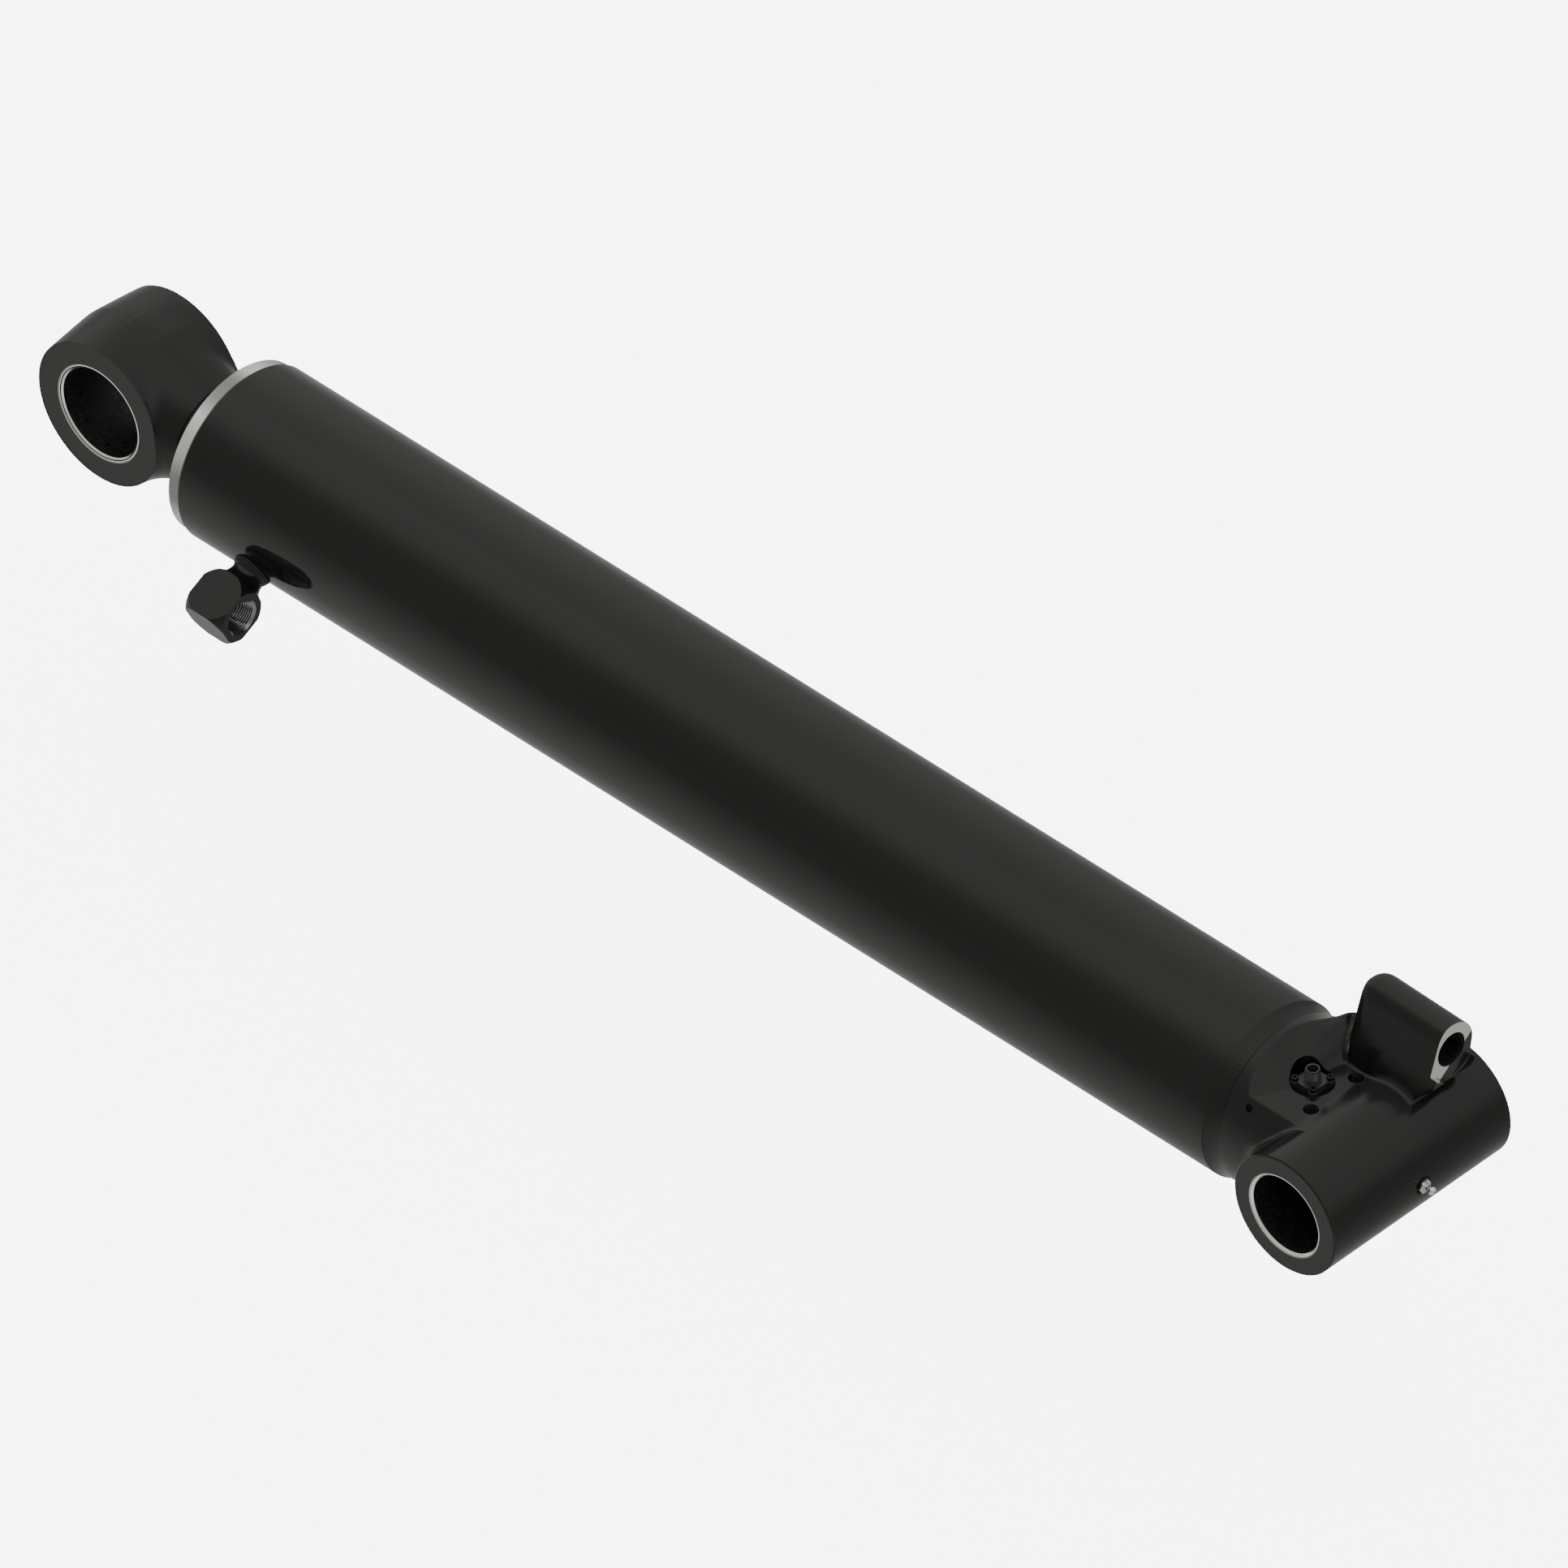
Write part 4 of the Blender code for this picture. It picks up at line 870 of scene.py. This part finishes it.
def screw_places():
    signs = ((-1, -1), (1, -1), (1, 1), (-1, 1))
    return [SENSOR + Vector((a * 0.0085, b * 0.0085, 0)) for a, b in signs]


def upright(profile, place, finish, segments=SMALL, shape=None):
    return lathe("upright", profile, place, Z_AXIS, finish, segments, shape)


def column(radius, low, high):
    return [(0, low), (radius, low), (radius, high), (0, high)]


def sensor_flange():
    """A square plate with a lobe at each screw, and the threaded nose of an M12 connector."""
    low = 0.0388
    top = 0.0445
    half = 0.0095
    lean = 0.0005
    outline = [(-half, -half), (half, -half), (half, half), (-half, half)]
    plate = prism_tool(outline, SENSOR + Z_AXIS * low, SENSOR + Z_AXIS * top, "sensor_plastic")
    turn_to(plate, SENSOR + Z_AXIS * low, Z_AXIS, X_AXIS)
    lobes = [upright(rounded(column(0.0031, low + 0.0001, top - 0.0001), lean), place, "sensor_plastic", 48)
             for place in screw_places()]
    combined(plate, lobes, "UNION")
    pitch = 0.0010
    rows = [0.0462 + 0.0070 * row / 56 for row in range(57)]

    def thread(radius, height, angle):
        if not 0.0462 <= height <= 0.0532:
            return radius
        wave = 1 - abs(2 * ((height / pitch + angle / math.tau) % 1.0) - 1)
        return radius - 0.0005 * wave

    profile = [(0, low + 0.001), (0.0057, low + 0.001), (0.0057, 0.0456), (0.0051, 0.0458), (0.0051, 0.04615),
               *[(0.0057, height) for height in rows], (0.0050, 0.0544), (0, 0.0544)]
    nose = upright(profile, SENSOR, "sensor_plastic", 96, thread)
    collar = rounded(column(0.0066, top - 0.0005, top + 0.0008), 0.0003)
    collar = upright(collar, SENSOR, "sensor_plastic", 96)
    combined(plate, [nose, collar], "UNION")
    tools = [rod_tool(0.0018, place + Z_AXIS * 0.037, place + Z_AXIS * top, "sensor_plastic", 48, 0.0003)
             for place in screw_places()]
    tools.append(rod_tool(0.0038, SENSOR + Z_AXIS * 0.037, SENSOR + Z_AXIS * 0.0544, "sensor_plastic", 96,
                          0.0003))
    settle(combined(plate, tools), "sensor_flange")


def contact_insert():
    """Five pins stand in a moulded insert."""
    insert = upright(rounded(column(0.0035, 0.0410, 0.0462), 0.0002), SENSOR, "sensor_plastic", 96)
    pins = []
    for number in range(5):
        angle = math.tau * number / 4 + math.pi / 4
        reach = 0.0 if number == 4 else 0.0021
        place = SENSOR + Vector((math.cos(angle), math.sin(angle), 0)) * reach
        pins.append(upright(rounded(column(0.0005, 0.0440, 0.0491), 0.0003), place, "brass", 32))
    settle(combined(insert, pins, "UNION"), "sensor_contact_insert")


def knurl(radius, height, angle):
    return radius - (0.00014 * (0.5 - 0.5 * math.cos(32 * angle)) if radius > 0.0024 else 0)


def connector_screws():
    base = 0.0448
    top = base + 0.0024
    for number, place in enumerate(screw_places(), 1):
        outline = [(0, 0.0310), (0.0010, 0.0310), (0.0014, 0.0315), (0.0014, base), (0.0026, base),
                   (0.0026, top - 0.0003), (0.0023, top), (0, top)]
        screw = upright(outline, place, "black_oxide_steel", 128, knurl)
        socket = prism_tool(polygon(6, 0.0013), place + Z_AXIS * (base + 0.0009),
                            place + Z_AXIS * (top + 0.001), "black_oxide_steel")
        settle(combined(screw, [socket]), f"connector_screw_{number}")


def set_screw():
    low = 0.0203
    high = 0.0636
    outline = [(0, low), (0.0013, low), (0.0020, low + 0.0008), (0.0021, high - 0.0004), (0.0017, high),
               (0, high)]
    screw = lathe("screw", outline, SET_SCREW, SET_SCREW_OUT, "black_oxide_steel", SMALL)
    socket = prism_tool(polygon(6, 0.0013), SET_SCREW + SET_SCREW_OUT * (high - 0.0030),
                        SET_SCREW + SET_SCREW_OUT * (high + 0.002), "black_oxide_steel")
    settle(combined(screw, [socket]), "sensor_set_screw")


def sensor_lead():
    inner, outer, low, high = extent(profile_of("sensor_lead", SENSOR, Z_AXIS))
    profile = rounded(column(outer, low, high), 0.0003)
    settle(upright(profile, SENSOR, "seal_rubber", SMALL), "sensor_lead")


def piston_nut():
    low = 0.1195
    high = 0.1372
    corner = 0.027
    nut = prism_tool(polygon(6, corner), TO_ROD * low, TO_ROD * high, "zinc_steel")
    flat = corner * math.cos(math.pi / 6)
    rise = (corner - flat) * 0.6
    crown = [(0, low - 0.0001), (flat, low - 0.0001), (corner + 0.0001, low + rise),
             (corner + 0.0001, high - rise), (flat, high + 0.0001), (0, high + 0.0001)]
    combined(nut, [lathe("tool", crown, ORIGIN, TO_ROD, "zinc_steel", FINE)], "INTERSECT")
    bore = rod_tool(0.0203, TO_ROD * (low - 0.002), TO_ROD * (high + 0.002), "zinc_steel", FINE)
    settle(combined(nut, [bore]), "piston_nut")


def small_fittings():
    grease_nipple()
    sensor_flange()
    contact_insert()
    connector_screws()
    set_screw()
    sensor_lead()
    piston_nut()


# ---------------------------------------------------------------- castings, as distance fields in millimetres


def smooth_least(a, b, reach):
    """The lesser of two distances, rounded over where they are closer than the reach."""
    share = np.maximum(reach - np.abs(a - b), 0) / reach
    return np.minimum(a, b) - share * share * reach / 4


def smooth_most(a, b, reach):
    return -smooth_least(-a, -b, reach)


def ramp(value, start, end):
    share = np.clip((value - start) / (end - start), 0, 1)
    return share * share * (3 - 2 * share)


def inside_polygon(across, up, outline):
    """Distance to a convex outline that runs anticlockwise, negative inside it."""
    nearest = np.full(np.broadcast(across, up).shape, 1e9, np.float32)
    deepest = np.full_like(nearest, -1e9)
    for (x0, y0), (x1, y1) in zip(outline, [*outline[1:], outline[0]]):
        length = math.hypot(x1 - x0, y1 - y0)
        tx = (x1 - x0) / length
        ty = (y1 - y0) / length
        along = np.clip((across - x0) * tx + (up - y0) * ty, 0, length)
        nearest = np.minimum(nearest, np.hypot(across - x0 - along * tx, up - y0 - along * ty))
        deepest = np.maximum(deepest, (across - x0) * ty - (up - y0) * tx)
    return np.where(deepest > 0, nearest, deepest)


NECK_RADIUS = 64.6
NECK_ENDS = (-88, -2)
PAD_HEIGHT = 42
WALL_LEAN = 1.15
UNDER_RUN = 90.0
UNDER_RISE = 19.5
BOSS_REAR = -51.5
BOSS_FRONT = 31
FRONT_LEAN = 1.12
TUBE_RADIUS = 46.7
WALL_Y = (-70, -49, -36, -22.7, -7, 9.7, 24, 50, 70)
WALL_X = (-70, -70, -62.5, -55.7, -51.8, -50.2, -48.0, -47.0, -47.0)
BOSS_SHOULDER = [(38.70 + 6.3 * (1 - t) ** 2 - 3.1 * t * t, 96.47 + 2.3 * (1 - t) ** 2 - 9.05 * t * t)
                 for t in (step / 12 for step in range(1, 13))]
BOSS = [(61, 20), *arc((49, 78.4), 20.8, 0, 101, 34), *BOSS_SHOULDER, (12.5, 20)]
DRAFT = 1.2


def wall_line():
    """The foot of the pad's end wall, as a fine smooth line."""
    y = np.linspace(-70, 70, 281)
    x = np.interp(y, WALL_Y, WALL_X)
    kernel = np.hanning(33)
    padded = np.pad(x, 16, mode="edge")
    return y, np.convolve(padded, kernel / kernel.sum(), "valid")


WALL = wall_line()


def base_distance(x, y, z):
    """The casting's rough shape: neck, pad, port boss and cross tube, with the fillets between them."""
    neck = np.maximum(np.hypot(y, z) - NECK_RADIUS, np.maximum(NECK_ENDS[0] - x, x - NECK_ENDS[1]))
    pad = z - PAD_HEIGHT
    foot = np.interp(y, *WALL)
    wall = (x - foot + WALL_LEAN * pad) / math.hypot(1, WALL_LEAN)
    neck = smooth_most(neck, smooth_least(pad, wall, 2.5), 0.8)
    under = (UNDER_RISE * (x + 78) - UNDER_RUN * (z + 64.7)) / math.hypot(UNDER_RISE, UNDER_RUN)
    neck = smooth_most(neck, under, 3.0)
    share = (BOSS_FRONT - x) / (BOSS_FRONT - BOSS_REAR)
    outline = inside_polygon(y, z, BOSS)
    moved = inside_polygon(y - DRAFT, z - DRAFT, BOSS)
    boss = smooth_most(outline + (moved - outline) * share, BOSS_REAR - x, 11.0)
    boss = np.maximum(boss, x - BOSS_FRONT)
    front = (x - 15.5 - FRONT_LEAN * (z - 44)) / math.hypot(1, FRONT_LEAN)
    boss = smooth_most(boss, front, 1.5)
    soft = 2.0 + 38 * ramp(x, -43, -60)
    body = smooth_least(neck, boss, soft)
    eye = np.maximum(np.hypot(x, z) - TUBE_RADIUS, np.abs(y) - 91)
    reach = 4 + 12 * ramp(z, 34, 14)
    return smooth_least(body, eye, reach)


ROD_HALF = 40.5
ROD_EYE_RADIUS = 56.5
ROD_EYE_BULGE = 3.9
CONE_SLOPE = 0.4286
CONE_WIDEST = 57.2


def rod_distance(x, y, z):
    """The rod eye's rough shape: a bulging forged ring that runs into a cone."""
    pin = x + round(1000 * PIN_TO_PIN)
    share = np.minimum(np.abs(y) / ROD_HALF, 1.1)
    share = np.sqrt(share * share + 0.0012)
    radius = ROD_EYE_RADIUS + ROD_EYE_BULGE * (1 - share**1.12)
    eye = (np.hypot(pin, z) - radius) * 0.995
    eye = np.maximum(eye, np.abs(y) - 41.4)
    widest = np.minimum(59.0 - CONE_SLOPE * (pin - 19), CONE_WIDEST)
    cone = (np.hypot(y, z) - widest) / math.hypot(1, CONE_SLOPE)
    cone = np.maximum(cone, np.maximum(-pin, pin - 74))
    return smooth_least(eye, cone, 5.0)


def body_from_distance(distance, low, high, size, name):
    """The closed surface where the distance is 0, its points pulled exactly onto it."""
    counts = [int(round((b - a) / size)) + 1 for a, b in zip(low, high)]
    x, y, z = (low[i] + size * np.arange(counts[i], dtype=np.float32) for i in range(3))
    values = distance(x[:, None, None], y[None, :, None], z[None, None, :])
    values = np.array(np.broadcast_to(values, counts), dtype=np.float32, order="C")
    grid = openvdb.FloatGrid(50.0)
    grid.copyFromArray(values)
    points, quads = grid.convertToQuads(isovalue=0.0)
    points = np.array(points, np.float64) * size + np.array(low)
    step = 0.02
    for _ in range(4):
        here = distance(*points.T)
        rises = [distance(*(points + shift).T) - distance(*(points - shift).T) for shift in step * np.eye(3)]
        slope = np.stack(rises, axis=1) / (2 * step)
        length = np.maximum((slope * slope).sum(axis=1), 0.2)
        points -= (np.clip(here, -0.4, 0.4) / length)[:, None] * slope
    return new_object(name, points / 1000, np.array(quads).tolist(), "cast_paint")


def trimmed_end(centre, axis, rim, at, beyond, finish, over):
    """A cutter that faces off what lies beyond a height on the axis, and breaks the rim's edge."""
    chamfer = 0.001
    profile = [(0, at), (rim - chamfer, at), (rim + over, at - chamfer - over), (rim + over, beyond),
               (0, beyond)]
    return lathe("tool", profile, centre, axis, finish, FINE)


VOXEL = 0.7


def base_casting():
    low = (-92.4, -95.2, -70.0)
    high = (51.1, 95.2, 105.0)
    body = body_from_distance(base_distance, low, high, VOXEL, "base_casting_body")
    ends = [trimmed_end(ORIGIN, side * Y_AXIS, 0.0467, 0.0875, 0.130, "cast_paint", 0.011)
            for side in (-1, 1)]
    rim = trimmed_end(ORIGIN, TO_ROD, 0.0646, 0.084, 0.120, "black_paint", 0.002)
    combined(body, [*ends, rim])
    spigot = [(0, 0.080), (0.0585, 0.080), (0.0585, 0.0924), (0.0572, 0.0927), (0.0572, 0.1115),
              (0.0557, 0.113), (0, 0.113)]
    combined(body, [lathe("tool", spigot, ORIGIN, TO_ROD, "machined_steel", FINE)], "UNION")
    bore = rod_tool(0.0324, (0, -0.0875, 0), (0, 0.0875, 0), "machined_steel", FINE, 0.0003, 0.0003)
    combined(body, [bore])
    spotface = [(0, 0.026), (0.0237, 0.026), (0.0243, 0.0266), (0.0243, 0.060), (0, 0.060)]
    combined(body, [lathe("tool", spotface, (0, PORT.y, PORT.z), X_AXIS, "port_face", FINE)])
    # The port's thread is given near-black painted shade.
    thread = thread_tool(0.0116, 0.0127, G_THREE_QUARTER_PITCH, PORT - X_AXIS * 0.022, PORT, "dark_bore",
                         0.0004)
    combined(body, [thread])
    base_galleries(body)
    base_fitting_holes(body)
    settle(body, "base_casting")


def base_galleries(body):
    """From the port along the boss, in to the axis, and out at the spigot's face."""
    inward = Vector((0, -PORT.y, -PORT.z)).normalized()
    corner = Vector((-0.050, PORT.y, PORT.z))
    turn = Vector((-0.050, 0, 0)) - inward * 0.038
    # The first gallery is given near-black painted shade.
    combined(body, [rod_tool(0.008, (-0.057, PORT.y, PORT.z), PORT - X_AXIS * 0.0215, "dark_bore")])
    combined(body, [rod_tool(0.007, corner, turn + inward * 0.004, "machined_steel")])
    combined(body, [rod_tool(0.0065, turn, (-0.113, turn.y, turn.z), "machined_steel", SMALL, 0.0005)])


def base_fitting_holes(body):
    # The threaded holes and screw holes are given near-black painted shade.
    tools = [thread_tool(0.00425, 0.0050, 0.0015, (-0.029, y, 0.024), (-0.029, y, 0.042), "dark_bore",
                         0.0004, 64) for y in (-0.0307, 0.0138)]
    tools += [rod_tool(0.0018, place + Z_AXIS * 0.029, place + Z_AXIS * 0.0385, "dark_bore", 32)
              for place in screw_places()]
    tools.append(rod_tool(0.0043, (0.030, 0, 0), (0.046, 0, 0), "machined_steel", 48))
    combined(body, tools)
    floor = 0.0385
    pocket = [(0, floor), (0.0149, floor), (0.0155, floor + 0.0006), (0.0155, 0.080), (0, 0.080)]
    combined(body, [lathe("tool", pocket, SENSOR, Z_AXIS, "black_paint", 128)])
    # The sensor's drilling and the set screw's hole are given near-black painted shade.
    combined(body, [rod_tool(0.0034, SENSOR + Z_AXIS * 0.010, SENSOR + Z_AXIS * 0.045, "dark_bore")])
    combined(body, [rod_tool(0.020, (-0.043, 0, 0), (-0.113, 0, 0), "machined_steel", FINE, 0.0005)])
    combined(body, [rod_tool(0.0025, SET_SCREW + SET_SCREW_OUT * 0.015, SET_SCREW + SET_SCREW_OUT * 0.0646,
                             "dark_bore", 48, 0.0003)])
    spot = [(0, 0.0445), (0.0065, 0.0445), (0.0070, 0.0450), (0.0070, 0.070), (0, 0.070)]
    combined(body, [lathe("tool", spot, ORIGIN, X_AXIS, "black_paint", 96)])


def rod_eye():
    low = (-1222.2, -51.1, -63.0)
    high = (-1080.0, 51.1, 63.0)
    eye = body_from_distance(rod_distance, low, high, VOXEL, "rod_eye_body")
    half = ROD_HALF / 1000
    facing = [(0, half), (0.0559, half), (0.0565, half + 0.0006), (0.0565, 0.090), (0, 0.090)]
    tools = [lathe("tool", facing, ROD_PIN, side * Y_AXIS, "cast_paint", FINE) for side in (-1, 1)]
    tools.append(slab((-1.088, -0.080, -0.080), (-1.060, 0.080, 0.080), "cast_paint"))
    combined(eye, tools)
    bore = rod_tool(0.0382, ROD_PIN - Y_AXIS * half, ROD_PIN + Y_AXIS * half, "machined_steel", FINE,
                    0.0003, 0.0003)
    settle(combined(eye, [bore]), "rod_eye")


# ---------------------------------------------------------------- floor, light and camera

AIM = Vector((-0.5507, 0.0015, 0.0011))
BACK = Vector((0.52110, -0.54777, 0.65452))
FRAME_WIDTH = 1.0661
LENS = 1600.0
SENSOR_WIDTH = 36.0
FLOOR_HEIGHT = -0.25
FLOOR_REACH = 30.0
FLOOR_GLOW = 6.5


def floor():
    """A pale floor that glows evenly, and is left out of reflections, shadows and bounced light."""
    g = Graph("pale_floor")
    glow = g.mix(g.noise(3.0, 3), (0.99, 0.99, 0.99), (1.0, 1.0, 1.0))
    g.finish(0.0, Base_Color=(0.8, 0.8, 0.8, 1.0), Roughness=0.8, Emission_Color=glow,
             Emission_Strength=FLOOR_GLOW)
    mesh = bpy.data.meshes.new("floor")
    signs = ((-1, -1), (1, -1), (1, 1), (-1, 1))
    mesh.from_pydata([(a * FLOOR_REACH, b * FLOOR_REACH, FLOOR_HEIGHT) for a, b in signs], [], [(0, 1, 2, 3)])
    mesh.materials.append(g.owner)
    plane = bpy.data.objects.new("floor", mesh)
    plane.visible_glossy = False
    plane.visible_diffuse = False
    plane.visible_shadow = False
    bpy.context.scene.collection.objects.link(plane)


# How bright the studio is by the direction's angle in the plane across the cylinder, in turns from +Y.
SKY = ((0.0, 0.42), (0.04, 0.56), (0.11, 0.95), (0.20, 1.05), (0.25, 1.30), (0.31, 1.18), (0.345, 0.82),
       (0.375, 0.56), (0.43, 0.44), (0.51, 0.46), (0.55, 0.66), (0.60, 0.84), (0.65, 0.80), (0.70, 0.62),
       (0.78, 0.50), (0.90, 0.40), (1.0, 0.42))


SKY_PEAK = 1.4
SKY_TINT = (1.0, 0.985, 0.955)


def studio():
    """A soft light from all round, whose level changes with the angle about the cylinder's axis."""
    g = Graph("studio", world=True)
    parts = g.split(g.places["Generated"])
    turns = g.math("MULTIPLY", g.math("ARCTAN2", parts[2], parts[1]), 1 / math.tau)
    bands = g.add("ShaderNodeValToRGB", {0: g.math("FRACT", turns)})
    bands.color_ramp.interpolation = "B_SPLINE"
    elements = bands.color_ramp.elements
    while len(elements) < len(SKY):
        elements.new(0.5)
    for element, (position, _) in zip(elements, SKY):
        element.position = position
    for element, (_, level) in zip(elements, SKY):
        element.color = (*(level / SKY_PEAK * tint for tint in SKY_TINT), 1.0)
    g.set(g.shader.inputs["Color"], bands.outputs[0])
    g.set(g.shader.inputs["Strength"], SKY_PEAK)
    bpy.context.scene.world = g.owner


def camera():
    data = bpy.data.cameras.new("camera")
    data.type = "PERSP"
    data.lens = LENS
    data.sensor_width = SENSOR_WIDTH
    data.clip_end = 100.0
    eye = bpy.data.objects.new("camera", data)
    eye.location = AIM + BACK * (LENS / SENSOR_WIDTH * FRAME_WIDTH)
    eye.rotation_euler = BACK.to_track_quat("Z", "Y").to_euler()
    bpy.context.scene.collection.objects.link(eye)
    bpy.context.scene.camera = eye


def main():
    turn_everything()
    stage_tubes()
    barrel()
    head_gland()
    bushings()
    base_weld()
    rod_weld()
    elbow()
    elbow_bead()
    small_fittings()
    base_casting()
    rod_eye()
    floor()
    studio()
    camera()


main()
